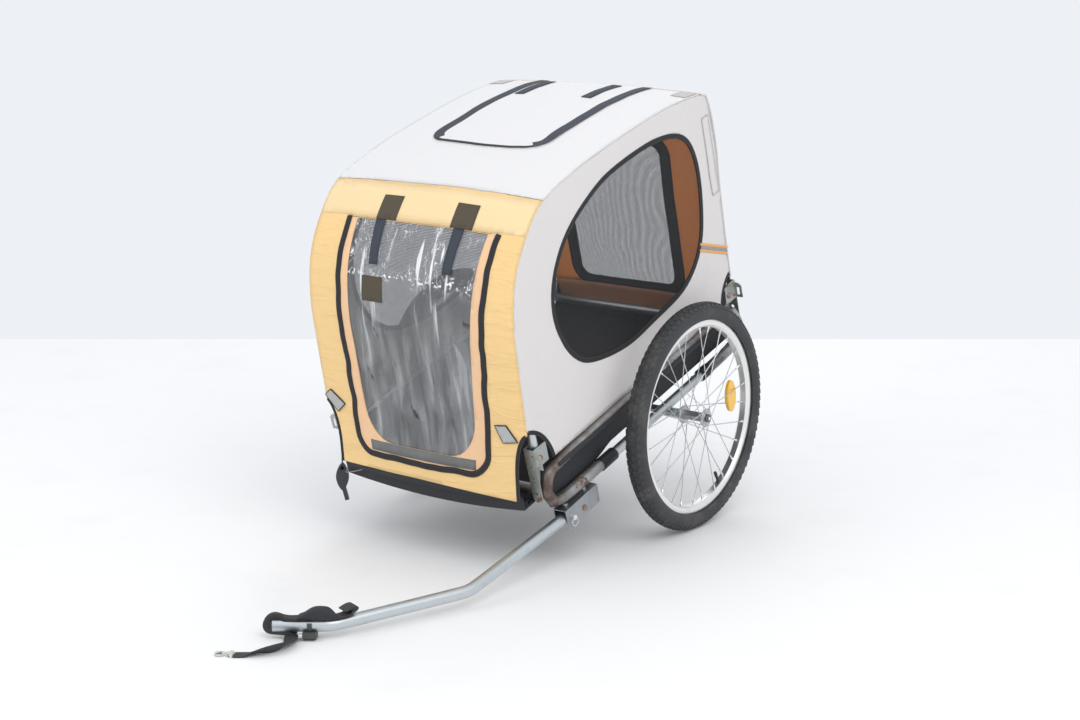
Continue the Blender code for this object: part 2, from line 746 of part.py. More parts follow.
def middle_tube(side):
    """Slim tube plugged into both legs of a side frame, with a cross bolt by the rear leg."""
    y = side * RAIL_Y
    rear, front = REAR_LEG_X - PLUG_DEPTH, FRONT_LEG_X + PLUG_DEPTH
    bar = rod([(rear, y, RAIL_LOW_Z), (front, y, RAIL_LOW_Z)], SLIM_RADIUS)
    knuckle = aim((KNUCKLE_X, y, RAIL_LOW_Z), SIDEWAYS)
    bolt = disc(KNUCKLE_RADIUS, -KNUCKLE_REACH, KNUCKLE_REACH, BOLT_SIDES, knuckle)
    return join(bar, bolt)


def ferrule(side, end_x, way, length):
    """Plastic sleeve over the end of a leg, its lip closing in on the slim tube."""
    inner = RAIL_RADIUS + CLEAR
    outer = inner + FERRULE_WALL
    lip = -FERRULE_LIP
    chamfer = FERRULE_WALL / 2
    profile = [(BORE_RADIUS, lip), (outer - chamfer, lip), (outer, lip + chamfer), (outer, length),
               (inner, length), (inner, -CLEAR), (BORE_RADIUS, -CLEAR)]
    return turned(profile, TUBE_SIDES, aim((end_x, side * RAIL_Y, RAIL_LOW_Z), (way, 0, 0)))


def axle_tube():
    bore = PIN_RADIUS + CLEAR
    outer = AXLE_TUBE_RADIUS
    profile = [(bore, -AXLE_HALF), (outer, -AXLE_HALF), (outer, AXLE_HALF), (bore, AXLE_HALF)]
    return turned(profile, TUBE_SIDES, aim((0, 0, 0), (0, 1, 0)))


def crossbar(x):
    half = BRACKET_IN_Y - CLEAR
    return rod([(x, -half, RAIL_MID_Z), (x, half, RAIL_MID_Z)], CROSSBAR_RADIUS)


# Corner brackets
def side_box(side, low, high):
    """The two corners of a box given for the left side, mirrored for the right."""
    ys = sorted((side * low[1], side * high[1]))
    return (low[0], ys[0], low[2]), (high[0], ys[1], high[2])


def corner_bracket(side, web_x, depth, pivot_x, way):
    """Pressed channel across the frame's end bend, holding a hoop's foot between two flanges."""
    back_x = web_x - way * (depth - BRACKET_WALL)
    face_x = web_x + way * BRACKET_WALL
    root_x = web_x + way * BRACKET_WALL / 2
    ear_z = RAIL_TOP_Z + 2 * BRACKET_WALL
    low_z = BRACKET_LOW_Z + BRACKET_CHAMFER
    ear_top = ear_z + EAR_HEIGHT
    in_y, out_y, ear_y = BRACKET_IN_Y, BRACKET_OUT_Y, BRACKET_EAR_Y
    plate = [(in_y + BRACKET_CORNER, BRACKET_LOW_Z), (out_y - BRACKET_CORNER, BRACKET_LOW_Z),
             (out_y, low_z), (out_y, ear_z), (ear_y, ear_z), (ear_y, ear_top - BRACKET_CHAMFER),
             (ear_y - BRACKET_CORNER, ear_top - BRACKET_WALL), (out_y, ear_top), (out_y, BRACKET_HIGH_Z),
             (in_y, BRACKET_HIGH_Z), (in_y, low_z)]
    web = slab([(side * y, z) for y, z in plate], min(web_x, face_x), max(web_x, face_x), "X")
    inner_side = [(root_x, low_z), (root_x, BRACKET_HIGH_Z), (back_x, BRACKET_HIGH_Z), (back_x, RAIL_TOP_Z),
                  (web_x - way * BRACKET_TAPER, low_z)]
    outer_side = [(root_x, ear_z), (root_x, BRACKET_HIGH_Z), (back_x, BRACKET_HIGH_Z), (back_x, ear_z)]
    inner = slab(inner_side, *sorted((side * in_y, side * (in_y + BRACKET_WALL))), "Y")
    outer = slab(outer_side, *sorted((side * (out_y - BRACKET_WALL), side * out_y)), "Y")
    body = join(web, inner, outer)
    pivot = aim((pivot_x, side * in_y, PIVOT_Z), (0, side, 0))
    bore = disc(PIVOT_RADIUS + CLEAR, -BRACKET_WALL, out_y - in_y + BRACKET_WALL, HOLE_STEPS, pivot)
    low = (web_x - THROUGH, out_y + WINDOW_SIDE[0], ear_z + WINDOW_HEIGHT[0])
    high = (web_x + THROUGH, out_y + WINDOW_SIDE[1], ear_z + WINDOW_HEIGHT[1])
    cutters = [bore, block(*side_box(side, low, high))]
    for z in BRACKET_HOLES_Z:
        at = (web_x, side * (in_y + BRACKET_HOLE_IN), z)
        deep = 2 * BRACKET_WALL
        cutters.append(disc(BRACKET_HOLE, -deep, deep, BOLT_SIDES, aim(at, (1, 0, 0))))
    return cut(body, *cutters)


def pivot_bolt(side, pivot_x):
    inner = BRACKET_IN_Y - CLEAR
    outer = BRACKET_OUT_Y + CLEAR
    head, width = PIVOT_HEAD_RADIUS, PIVOT_HEAD_WIDTH
    nut = head * 0.85
    profile = [(0, inner - width), (nut, inner - width), (nut, inner), (PIVOT_RADIUS, inner),
               (PIVOT_RADIUS, outer), (head, outer), (head, outer + width * 0.6),
               (head * 0.6, outer + width), (0, outer + width)]
    return turned(profile, BOLT_SIDES, aim((pivot_x, 0, PIVOT_Z), (0, side, 0)))


# Hoops
def hoop(corners, radii, pivot_x):
    """A tube bent into a hoop, left foot to right foot, drilled for its two pivot bolts."""
    left = [(x, HOOP_Y, z) for x, z in corners]
    right = [(x, -HOOP_Y, z) for x, z in reversed(corners)]
    path = bent(left + right, radii + [HOOP_CORNER, HOOP_CORNER] + radii[::-1])
    body = rod(path, HOOP_RADIUS)
    bore = disc(PIVOT_RADIUS + CLEAR, -CABIN_Y, CABIN_Y, 12, aim((pivot_x, 0, PIVOT_Z), (0, 1, 0)))
    return cut(body, bore)


def front_hoop():
    foot = (FRONT_PIVOT_X, PIVOT_Z - HOOP_RADIUS)
    knee = (FRONT_PIVOT_X - FRONT_KNEE[0], PIVOT_Z + FRONT_KNEE[1])
    shoulder = (FRONT_PIVOT_X - FRONT_SHOULDER[0], PIVOT_Z + FRONT_SHOULDER[1])
    return hoop([foot, knee, shoulder, FRONT_BAR], FRONT_HOOP_RADII, FRONT_PIVOT_X)


def rear_hoop():
    foot = (REAR_PIVOT_X, PIVOT_Z - HOOP_RADIUS)
    return hoop([foot, REAR_BAR], [], REAR_PIVOT_X)


# Cabin fabric
def cabin_profile():
    """The cabin's outline from the front hem over the roof to the rear hem, and where each sheet ends."""
    front = FRONT_PROFILE + [SEAM_PROFILE]
    roof = ROOF_PROFILE + [ROOF_END_PROFILE]
    line = [Vector((x, 0, z)) for x, z in front + roof + REAR_PROFILE]
    curve = smooth(line, PROFILE_STEPS)
    seam = (len(front) - 1) * PROFILE_STEPS
    back = seam + len(roof) * PROFILE_STEPS
    return curve, seam, back


def offset_line(points, distance):
    """A line in the XZ plane moved to its right by a distance, as seen from +Y with +X to the left."""
    moved = []
    ways = tangents(points)
    for point, way in zip(points, ways):
        moved.append(point + Vector((-way.z, 0, way.x)) * distance)
    return moved


def crown_lift(point):
    """How far the fabric stands out at this place between the hoops."""
    share = 1 - (point.y / CABIN_Y) ** 2
    fade = max(0.0, min(1.0, (point.x - REAR_PROFILE[0][0]) / CROWN_FADE))
    return share * (REAR_CROWN + (CROWN - REAR_CROWN) * fade)


def crowned(bm):
    """Push every vertex out from the cabin's middle by the fabric's crown."""
    centre = Vector((CABIN_CENTRE[0], 0, CABIN_CENTRE[1]))
    for vert in bm.verts:
        away = vert.co - centre
        away.y = 0
        vert.co += away.normalized() * crown_lift(vert.co)
    return bm


def pull_in(points, start, end):
    """Shorten a line by a length at each end."""
    first = points[0] + (points[1] - points[0]).normalized() * start
    last = points[-1] + (points[-2] - points[-1]).normalized() * end
    return [first] + points[1:-1] + [last]


def sheet(span, outer, inner, start=CLEAR, end=CLEAR):
    """A crowned sheet over a span of the profile, between two depths under its outer face."""
    curve = cabin_profile()[0]
    first, last = span
    lines = [pull_in(offset_line(curve, depth)[first:last], start, end) for depth in (outer, inner)]
    ring = [(p.x, p.z) for p in lines[0] + lines[1][::-1]]
    frames = []
    for k in range(CABIN_COLUMNS + 1):
        y = CABIN_Y * (2 * k / CABIN_COLUMNS - 1)
        frames.append(frame_at(Vector((0, y, 0)), Vector((1, 0, 0)), Vector((0, 0, 1)), Vector((0, 1, 0))))
    return crowned(carried(ring, frames))


def front_sheet(outer=0.0, inner=FABRIC):
    _, seam, _ = cabin_profile()
    return sheet((0, seam + 1), outer, inner, 0, CLEAR)


def roof_sheet(outer=0.0, inner=FABRIC):
    _, seam, back = cabin_profile()
    return sheet((seam, back + 1), outer, inner)


def rear_sheet(outer=0.0, inner=FABRIC):
    _, _, back = cabin_profile()
    return sheet((back, None), outer, inner, CLEAR, 0)


def grown(outline, amount):
    """Move each point of a closed outline outwards by an amount."""
    points = [Vector((p[0], p[1])) for p in outline]
    area = sum(a.x * b.y - b.x * a.y for a, b in zip(points, points[1:] + points[:1]))
    turn = 1 if area > 0 else -1
    moved = []
    for before, point, after in zip(points[-1:] + points[:-1], points, points[1:] + points[:1]):
        way = ((point - before).normalized() + (after - point).normalized()).normalized()
        moved.append((point.x + way.y * turn * amount, point.y - way.x * turn * amount))
    return moved


def door_outline():
    low, high = (-DOOR_HALF_TOP, DOOR_LOW_Z), (DOOR_HALF_TOP, DOOR_TOP_Z)
    shape = rounded_rect(low, high, DOOR_CORNER, 4, DOOR_TOP_CORNER)
    return tapered(shape, DOOR_LOW_Z, DOOR_TOP_Z, DOOR_HALF_LOW, DOOR_HALF_TOP)


def pane_outline():
    low, high = (-PANE_HALF_TOP, PANE_LOW_Z), (PANE_HALF_TOP, PANE_TOP_Z)
    shape = rounded_rect(low, high, PANE_CORNER, 5, PANE_TOP_CORNER)
    return tapered(shape, PANE_LOW_Z, PANE_TOP_Z, PANE_HALF_LOW, PANE_HALF_TOP)


def rear_net_outline():
    low = (REAR_NET_SIDE[0], REAR_NET_HEIGHT[0])
    return rounded_rect(low, (REAR_NET_SIDE[1], REAR_NET_HEIGHT[1]), REAR_NET_CORNER)


def roof_net_outline():
    return rounded_rect((ROOF_NET[0], -ROOF_NET_HALF), (ROOF_NET[1], ROOF_NET_HALF), ROOF_NET_CORNER, 3)


def corner_relief(side, front):
    """Cutter that frees a lower corner of an end panel from its bracket."""
    inner = BRACKET_IN_Y - PIVOT_HEAD_WIDTH - RELIEF_SIDE
    rise, drop = FRONT_RELIEF if front else REAR_RELIEF
    high, spring = BRACKET_HIGH_Z + rise, BRACKET_HIGH_Z - drop
    edge = CABIN_Y + RELIEF_REACH
    outline = [(side * edge, 0.0), (side * inner, 0.0)]
    for k in range(6):
        angle = pi / 2 * k / 5
        outline.append((side * (edge - (edge - inner) * cos(angle)), spring + (high - spring) * sin(angle)))
    return slab(outline, *(FRONT_SPAN if front else REAR_SPAN), "X")


def front_panel():
    opening = slab(door_outline(), *FRONT_SPAN, "X")
    return cut(front_sheet(), opening, corner_relief(1, True), corner_relief(-1, True))


def front_door():
    shape = common(front_sheet(), slab(grown(door_outline(), -DOOR_SEAM), *FRONT_SPAN, "X"))
    return cut(shape, slab(pane_outline(), *FRONT_SPAN, "X"))


def door_window():
    thin = front_sheet(NET, 2 * NET)
    return common(thin, slab(grown(pane_outline(), -CLEAR), *FRONT_SPAN, "X"))


def roof_panel():
    return cut(roof_sheet(), slab(roof_net_outline(), *ROOF_SPAN, "Z"))


def roof_window_net():
    return common(roof_sheet(NET, 2 * NET), slab(grown(roof_net_outline(), -CLEAR), *ROOF_SPAN, "Z"))


def roof_flap():
    over = roof_sheet(-CLEAR - FLAP_THICKNESS, -CLEAR)
    low, high = FLAP
    outline = [(low, -FLAP_HALF), (high - FLAP_CORNER, -FLAP_HALF)]
    for k in range(1, 5):
        angle = -pi / 2 + pi / 2 * k / 5
        outline.append((high - FLAP_CORNER * (1 - cos(angle)), -FLAP_HALF + FLAP_CORNER * (1 + sin(angle))))
    outline.append((high, -FLAP_HALF + FLAP_CORNER))
    outline += [(x, -y) for x, y in reversed(outline)]
    return common(over, slab(outline, *ROOF_SPAN, "Z"))


def rear_panel():
    opening = slab(rear_net_outline(), *REAR_SPAN, "X")
    return cut(rear_sheet(), opening, corner_relief(1, False), corner_relief(-1, False))


def rear_window_net():
    return common(rear_sheet(NET, 2 * NET), slab(grown(rear_net_outline(), -CLEAR), *REAR_SPAN, "X"))


def side_window_outline():
    curve = smooth([(x, z, 0) for x, z in WINDOW_OUTLINE], 2, closed=True)
    return [(p.x, p.y) for p in curve]


def side_relief(side, front):
    """Elliptical cutter that frees a lower corner of a side panel from its bracket."""
    centre, size = SIDE_FRONT_RELIEF if front else SIDE_REAR_RELIEF
    outline = [(centre[0] + size[0] * x, centre[1] + size[1] * z) for x, z in circle(1.0, 2 * BORE_STEPS)]
    return slab(outline, *sorted((side * (CABIN_Y - THROUGH), side * (CABIN_Y + THROUGH))), "Y")


def side_panel(side):
    curve = cabin_profile()[0]
    floor_z = RAIL_TOP_Z + CLEAR
    inset = [p for p in offset_line(curve, FABRIC + CLEAR) if p.z > floor_z + FABRIC]
    front_x = inset[0].x + (inset[0].x - inset[1].x) * (inset[0].z - floor_z) / (inset[1].z - inset[0].z)
    outline = [(front_x, floor_z)] + [(p.x, p.z) for p in inset] + [(inset[-1].x, floor_z)]
    ys = sorted((side * (CABIN_Y - FABRIC), side * CABIN_Y))
    plate = slab(outline, ys[0], ys[1], "Y")
    deep = FABRIC + CLEAR
    window = slab(side_window_outline(), side * CABIN_Y - deep, side * CABIN_Y + deep, "Y")
    return cut(plate, window, side_relief(side, True), side_relief(side, False))


def side_net(side):
    ys = sorted((side * (CABIN_Y - NET), side * (CABIN_Y - 2 * NET)))
    return slab(grown(side_window_outline(), -CLEAR), ys[0], ys[1], "Y")


# Fabric tub
def tub_form(inset, top):
    """The tub's outer or inner form: a block whose floor sags between the rails."""
    half = RAIL_Y - RAIL_RADIUS - TUB_SIDE_GAP
    bm = bmesh.new()
    bmesh.ops.create_grid(bm, x_segments=1, y_segments=8, size=0.5)
    grown_faces = bmesh.ops.extrude_face_region(bm, geom=bm.faces[:])
    upper = [g for g in grown_faces["geom"] if isinstance(g, bmesh.types.BMVert)]
    bmesh.ops.translate(bm, vec=(0, 0, 1), verts=upper)
    for vert in bm.verts:
        x = TUB_REAR_X + inset + (TUB_FRONT_X - TUB_REAR_X - 2 * inset) * (vert.co.x + 0.5)
        y = 2 * vert.co.y * (half - inset)
        sag = TUB_FLOOR_Z - TUB_SAG * (1 - (y / half) ** 2) + inset
        vert.co = (x, y, top if vert.co.z > 0.5 else sag)
    bmesh.ops.recalc_face_normals(bm, faces=bm.faces)
    return bm


def tub():
    """Open tub of one wall, lower at its front, cut away round the four brackets."""
    outer = tub_form(0.0, TUB_SIDE_Z)
    inner = tub_form(TUB_WALL, TUB_SIDE_Z + THROUGH)
    low, high = -1.0, 1.0
    cutters = [block((TUB_FRONT_X - RAIL_RADIUS, low, TUB_LIP_Z), (high, high, high))]
    clear_y = BRACKET_IN_Y - PIVOT_HEAD_WIDTH - TUB_BOLT_GAP
    for side in (1, -1):
        front_x = FRONT_WEB_X - FRONT_BRACKET_DEPTH - TUB_BRACKET_GAP
        rear_x = REAR_WEB_X + REAR_BRACKET_DEPTH + TUB_BRACKET_GAP
        cutters.append(block(*side_box(side, (front_x, clear_y, low), (high, high, high))))
        cutters.append(block(*side_box(side, (low, clear_y, low), (rear_x, high, high))))
    return cut(outer, inner, *cutters)


# Tow arm
def arm_direction():
    return (Vector(ARM_BEND) - Vector(ARM_PIVOT)).normalized()


def cross_drill(radius, at, steps=HOLE_STEPS):
    """Cutter for a hole that goes right through sideways."""
    return disc(radius, -THROUGH, THROUGH, steps, aim(at, SIDEWAYS))


def hitch_channel():
    """Downward channel under the left lower rail, with two studs up to the rail."""
    half = CHANNEL_GAP / 2 + CHANNEL_WALL
    low, high = CHANNEL_X
    outer = block((low, RAIL_Y - half, CHANNEL_LOW_Z), (high, RAIL_Y + half, CHANNEL_TOP_Z))
    inner = block((low - THROUGH, RAIL_Y - CHANNEL_GAP / 2, CHANNEL_LOW_Z - THROUGH),
                  (high + THROUGH, RAIL_Y + CHANNEL_GAP / 2, CHANNEL_TOP_Z - CHANNEL_WALL))
    body = cut(outer, inner)
    top = RAIL_LOW_Z - RAIL_RADIUS - CLEAR
    for x in CHANNEL_STUDS_X:
        foot = CHANNEL_TOP_Z - CHANNEL_WALL / 2
        stud = disc(STUD_RADIUS, foot, top, BOLT_SIDES, aim((x, RAIL_Y, 0), UPRIGHT))
        body = join(body, stud)
    pivot = Vector(ARM_PIVOT)
    lock = lock_point()
    spare = Vector((pivot.x - LOCK_AHEAD, pivot.y, 2 * pivot.z - lock.z))
    holes = [cross_drill(radius + CLEAR, at) for at, radius in
             ((pivot, BOLT_RADIUS), (lock, LOCK_RADIUS), (spare, LOCK_RADIUS))]
    return cut(body, *holes)


def lock_point():
    return Vector(ARM_PIVOT) + arm_direction() * LOCK_AHEAD


def tow_arm():
    """Bent drawbar tube with its pivot bore, its lock slot and an open tip."""
    way = arm_direction()
    stub = Vector(ARM_PIVOT) - way * ARM_STUB
    path = bent([stub, ARM_BEND, ARM_KNEE, ARM_TIP], [ARM_BEND_RADIUS, ARM_KNEE_RADIUS], 3)
    body = pipe(path, ARM_RADIUS, ARM_WALL)
    half = LOCK_SLOT / 2
    slot = block((-half - LOCK_SHIFT, -THROUGH, -half), (half - LOCK_SHIFT, THROUGH, THROUGH))
    across = Vector(SIDEWAYS)
    place = frame_at(lock_point(), way, across, way.cross(across))
    bmesh.ops.transform(slot, matrix=place, verts=slot.verts)
    return cut(body, cross_drill(BOLT_RADIUS + CLEAR, ARM_PIVOT), slot)


def cross_bolt(at):
    """Bolt through the channel, its nut inside and its domed head outside."""
    inner = CHANNEL_GAP / 2 + CHANNEL_WALL + CLEAR
    head, width = BOLT_HEAD_RADIUS, BOLT_HEAD_WIDTH
    nut = head * 0.9
    profile = [(0, -inner - width), (nut, -inner - width), (nut, -inner), (BOLT_RADIUS, -inner),
               (BOLT_RADIUS, inner), (head, inner), (head, inner + width * 0.6),
               (head * 0.7, inner + width), (0, inner + width)]
    return turned(profile, BOLT_SIDES, aim(at, SIDEWAYS))


def lock_pin():
    """Straight pin through the channel and arm, with a collar and a pull ring outside."""
    outer = CHANNEL_GAP / 2 + CHANNEL_WALL + CLEAR
    nose, collar = LOCK_RADIUS * 0.7, LOCK_RADIUS * 1.7
    low, high = -outer - LOCK_NOSE, outer + LOCK_COLLAR
    profile = [(0, low), (nose, low), (LOCK_RADIUS, low + LOCK_NOSE / 2), (LOCK_RADIUS, outer),
               (collar, outer), (collar, high), (0, high)]
    shank = turned(profile, HOLE_STEPS, aim(lock_point(), SIDEWAYS))
    centre = lock_point() + Vector((0, outer + LOCK_COLLAR * 0.6, -PULL_RING))
    wire = [(PULL_RING + x, y) for x, y in circle(PULL_WIRE, 5)]
    return join(shank, turned(wire, TUBE_SIDES, aim(centre, SIDEWAYS)))


def tip_frame():
    """The floor frame at the arm's tip: X on past the tip, Y to its left, Z up from the floor."""
    tip = CHASSIS @ Vector(ARM_TIP)
    knee = CHASSIS @ Vector(ARM_KNEE)
    on = Vector((tip.x - knee.x, tip.y - knee.y, 0)).normalized()
    upright = Vector((0, 0, 1))
    return frame_at(Vector((tip.x, tip.y, 0)), on, upright.cross(on), upright)


def from_floor(bm):
    """Move a shape drawn in the tip's floor frame to the chassis frame."""
    bmesh.ops.transform(bm, matrix=CHASSIS.inverted() @ tip_frame(), verts=bm.verts)
    return bm


def tip_line():
    """The arm's last run in the tip's floor frame, as its tip and its direction back from it."""
    back = tip_frame().inverted() @ CHASSIS
    tip = back @ Vector(ARM_TIP)
    return tip, (back @ Vector(ARM_KNEE) - tip).normalized()


def end_cap():
    tip, back = Vector(ARM_TIP), (Vector(ARM_KNEE) - Vector(ARM_TIP)).normalized()
    plug = (ARM_RADIUS - ARM_WALL) * cos(pi / TUBE_SIDES) - CLEAR
    profile = [(0, -CAP_FLANGE), (ARM_RADIUS * 0.9, -CAP_FLANGE), (ARM_RADIUS, -CAP_FLANGE * 0.7),
               (ARM_RADIUS, -CLEAR), (plug, -CLEAR), (plug, CAP_PLUG), (0, CAP_PLUG)]
    return turned(profile, BORE_STEPS, aim(tip, back))


def clamp():
    """Clamp block on the floor under the arm, held by an open band, with a screw for the wing nut."""
    tip, back = tip_line()
    near, far = CLAMP_BACK
    base = slab(CLAMP_OUTLINE, -far, -near, "X")
    middle = (near + far) / 2 / abs(back.x)
    outer = ARM_RADIUS + CLEAR + BAND_WALL
    band = disc(outer, middle - BAND_WIDTH / 2, middle + BAND_WIDTH / 2, BORE_STEPS, aim(tip, back))
    clearance = disc((ARM_RADIUS + CLEAR) / cos(pi / BORE_STEPS), 0, 2 * far, BORE_STEPS, aim(tip, back))
    open_half = WEB_WIDTH / 2 + CLEAR
    opening = block((-far, -open_half, tip.z), (-near, open_half, tip.z + 2 * outer))
    body = cut(join(base, band), clearance, opening)
    axis = aim((-near, NUT_SIDE, NUT_HEIGHT), (1, 0, 0))
    screw = disc(SCREW_RADIUS, -2 * SCREW_RADIUS, NUT_LENGTH + SCREW_RADIUS / 2, BOLT_SIDES, axis)
    return from_floor(join(body, screw))


def wing_nut():
    """Nut with two flat wings, its axis along the arm."""
    low = -CLAMP_BACK[0] + CLEAR
    high = low + NUT_LENGTH
    root, tip_low, tip_high = low + WING_THICKNESS / 2, low + NUT_LENGTH * 0.25, low + NUT_LENGTH * 0.8
    axis = aim((low, NUT_SIDE, NUT_HEIGHT), (1, 0, 0))
    body = disc(2 * SCREW_RADIUS, 0, NUT_LENGTH, HOLE_STEPS, axis)
    half = [(NUT_SIDE, root), (NUT_SIDE + NUT_WING, tip_low), (NUT_SIDE + NUT_WING, tip_high),
            (NUT_SIDE, high - WING_THICKNESS / 3)]
    outline = [(x, y) for y, x in half] + [(x, 2 * NUT_SIDE - y) for y, x in half[2:0:-1]]
    wings = slab(outline, NUT_HEIGHT - WING_THICKNESS / 2, NUT_HEIGHT + WING_THICKNESS / 2, "Z")
    bore = disc(SCREW_RADIUS + CLEAR, -NUT_LENGTH, 2 * NUT_LENGTH, HOLE_STEPS, axis)
    return from_floor(cut(join(body, wings), bore))


def arm_line(distance):
    """The arm's centre at a distance back from its tip along its bends, in the tip's floor frame."""
    path = bent([ARM_TIP, ARM_KNEE, ARM_BEND], [ARM_KNEE_RADIUS])
    turn = tip_frame().inverted() @ CHASSIS
    path = [turn @ p for p in path]
    for start, end in zip(path, path[1:]):
        run = (end - start).length
        if distance <= run or end is path[-1]:
            return start.lerp(end, distance / run), (start - end).normalized()
        distance -= run


def over_arm(distance, height):
    """A place above the arm's top, and the level direction across the arm there."""
    point, ahead = arm_line(distance)
    across = Vector((-ahead.y, ahead.x, 0)).normalized()
    return point + Vector((0, 0, ARM_RADIUS + height)), across


def arm_pad():
    """Padded block on the webbing on top of the arm."""
    under = WEB_LIFT + WEB_THICKNESS + CLEAR
    rows = []
    for distance, height in PAD_OUTLINE:
        seat, across = over_arm(distance, under)
        rise = Vector((0, 0, height - under))
        rows.append([seat + across * PAD_HALF * side + rise * level for side, level in PAD_SECTION])
    return from_floor(lofted(rows))


def web_outline():
    half, thick = WEB_WIDTH / 2, WEB_THICKNESS / 2
    return [(-half, -thick), (half, -thick), (half, thick), (-half, thick)]


def tip_loop():
    """Webbing folded over behind the pad, laid along the arm, round its end and back under it."""
    middle = WEB_LIFT + WEB_THICKNESS / 2
    places = [over_arm(distance, middle + height) for distance, height in FOLD_ROUTE]
    places += [over_arm(distance, middle) for distance in TOP_RUN]
    places += [(Vector((u, 0, z)), Vector((0, 1, 0))) for u, z in LOOP_ROUTE]
    path = smooth([place for place, _ in places], 2)
    sides = [across for _, across in places]
    sides = [side for pair in zip(sides, sides[1:]) for side in (pair[0], (pair[0] + pair[1]).normalized())]
    sides.append(places[-1][1])
    frames = []
    for point, way, side in zip(path, tangents(path), sides):
        across = (side - way * side.dot(way)).normalized()
        frames.append(frame_at(point, across, way.cross(across), way))
    return carried(web_outline(), frames)


def floor_strap():
    """Webbing that leaves the loop under the arm, tips up as it turns, and ends flat on the floor."""
    path = smooth([(u, v, 0) for u, v in STRAP_ROUTE], 2)
    half, thick = WEB_WIDTH / 2, WEB_THICKNESS / 2
    frames = []
    roll_start, roll_end = ROLL_SPAN
    for k, (point, way) in enumerate(zip(path, tangents(path))):
        share = k / (len(path) - 1)
        rolled = max(0.0, min(1.0, (share - roll_start) / (roll_end - roll_start)))
        roll = STRAP_ROLL * sin(pi * rolled)
        level = Vector((-way.y, way.x, 0))
        across = level * cos(roll) + Vector((0, 0, 1)) * sin(roll)
        drop = STRAP_DROP * max(0.0, 1 - share / DROP_SPAN)
        height = half * sin(roll) + thick * cos(roll) + STRAP_LIFT + drop
        frames.append(frame_at(point + Vector((0, 0, height)), across, way.cross(across), way))
    return carried(web_outline(), frames)


def safety_strap():
    return from_floor(join(tip_loop(), floor_strap()))


def hook_frame():
    return Matrix.Translation((HOOK_START, HOOK_SIDE, STRAP_LIFT))


def snap_hook():
    """Flat moulded hook, its eye on the strap's end and a gap in its ring for the gate."""
    centre = HOOK_LENGTH - HOOK_RADIUS
    middle = Matrix.Translation((centre, 0, 0))
    ring = disc(HOOK_RADIUS, 0, HOOK_THICKNESS, RING_STEPS, middle)
    hollow = disc(HOOK_RADIUS - HOOK_WIRE, -THROUGH, THROUGH, RING_STEPS, middle)
    neck = EYE_LENGTH - HOOK_WIRE / 2
    shank_end = centre - HOOK_RADIUS + HOOK_WIRE - CLEAR
    shank = block((neck, -SHANK_HALF, 0), (shank_end, SHANK_HALF, HOOK_THICKNESS))
    eye = block((0, -WEB_WIDTH / 2, 0), (EYE_LENGTH, WEB_WIDTH / 2, HOOK_THICKNESS))
    mouth_start, mouth_end = centre + MOUTH[0], centre + MOUTH[1]
    mouth = block((mouth_start, MOUTH_LOW, -THROUGH), (mouth_end, HOOK_RADIUS + HOOK_WIRE, THROUGH))
    body = cut(join(join(ring, shank), eye), hollow, mouth)
    bmesh.ops.transform(body, matrix=hook_frame(), verts=body.verts)
    return from_floor(body)


def hook_gate():
    """Sprung gate that closes the hook's mouth."""
    centre = HOOK_LENGTH - HOOK_RADIUS
    level = HOOK_RADIUS - GATE_OFFSET
    body = block((centre + MOUTH[0] + GATE_START, level - GATE_HALF, GATE_INSET),
                 (centre + MOUTH[1] - CLEAR, level + GATE_HALF, HOOK_THICKNESS - GATE_INSET))
    bmesh.ops.transform(body, matrix=hook_frame(), verts=body.verts)
    return from_floor(body)


# Tethered pin
def tether_start():
    return Vector((FRONT_WEB_X + BRACKET_WALL + CLEAR, TETHER_Y, TETHER_Z))


def tether_route():
    """From the right front bracket out and then straight down, in the room's frame."""
    start = CHASSIS @ tether_start()
    ahead = CHASSIS.to_3x3() @ Vector((1, 0, 0))
    down = Vector((0, 0, -1))
    points = [start] + [start + ahead * out + down * drop for out, drop in TETHER_TURN]
    turned_down = TETHER_TURN[-1][1]
    for k in range(1, TETHER_STEPS + 1):
        drop = turned_down + (TETHER_DROP - turned_down) * k / TETHER_STEPS
        points.append(start + ahead * TETHER_OUT + down * drop)
    return points


def in_chassis(points):
    back = CHASSIS.inverted()
    return [back @ p for p in points]


def pin_frame():
    """Upright frame at the top of the hanging handle, X across its flat face."""
    top = tether_route()[-1] + Vector((0, 0, -CLEAR))
    normal = Vector((cos(TETHER_FACING), sin(TETHER_FACING), 0))
    across = Vector((-sin(TETHER_FACING), cos(TETHER_FACING), 0))
    return frame_at(top, across, Vector((0, 0, 1)), normal)


def tether_pin():
    """Teardrop grip with a hole at its top and a square peg at its foot."""
    outline = []
    for x, y in circle(1.0, GRIP_STEPS):
        height = -HANDLE_HEIGHT / 2 * (1 - y)
        swell = GRIP_SWELL[0] + GRIP_SWELL[1] * sin(pi * min(1.0, -height / HANDLE_HEIGHT))
        outline.append((HANDLE_WIDTH / 2 * x * swell, height))
    half = HANDLE_THICKNESS / 2
    place = pin_frame()
    grip = carried(outline, [place @ Matrix.Translation((0, 0, z)) for z in (-half, half)])
    hole_at = place @ Vector((0, HANDLE_HOLE_Z, 0))
    hole = disc(HANDLE_HOLE, -THROUGH, THROUGH, HOLE_STEPS, aim(hole_at, place.col[2].to_3d()))
    size = TETHER_PIN_SIZE / 2
    peg = block((-size, -TETHER_PIN_LENGTH, -size), (size, size, size))
    foot = Matrix.Translation((PEG_SIDE, PEG_RISE - HANDLE_HEIGHT, 0))
    turn = foot @ Matrix.Rotation(TETHER_PIN_TILT, 4, "Z")
    bmesh.ops.transform(peg, matrix=place @ turn, verts=peg.verts)
    whole = cut(join(grip, peg), hole)
    bmesh.ops.transform(whole, matrix=CHASSIS.inverted(), verts=whole.verts)
    return whole


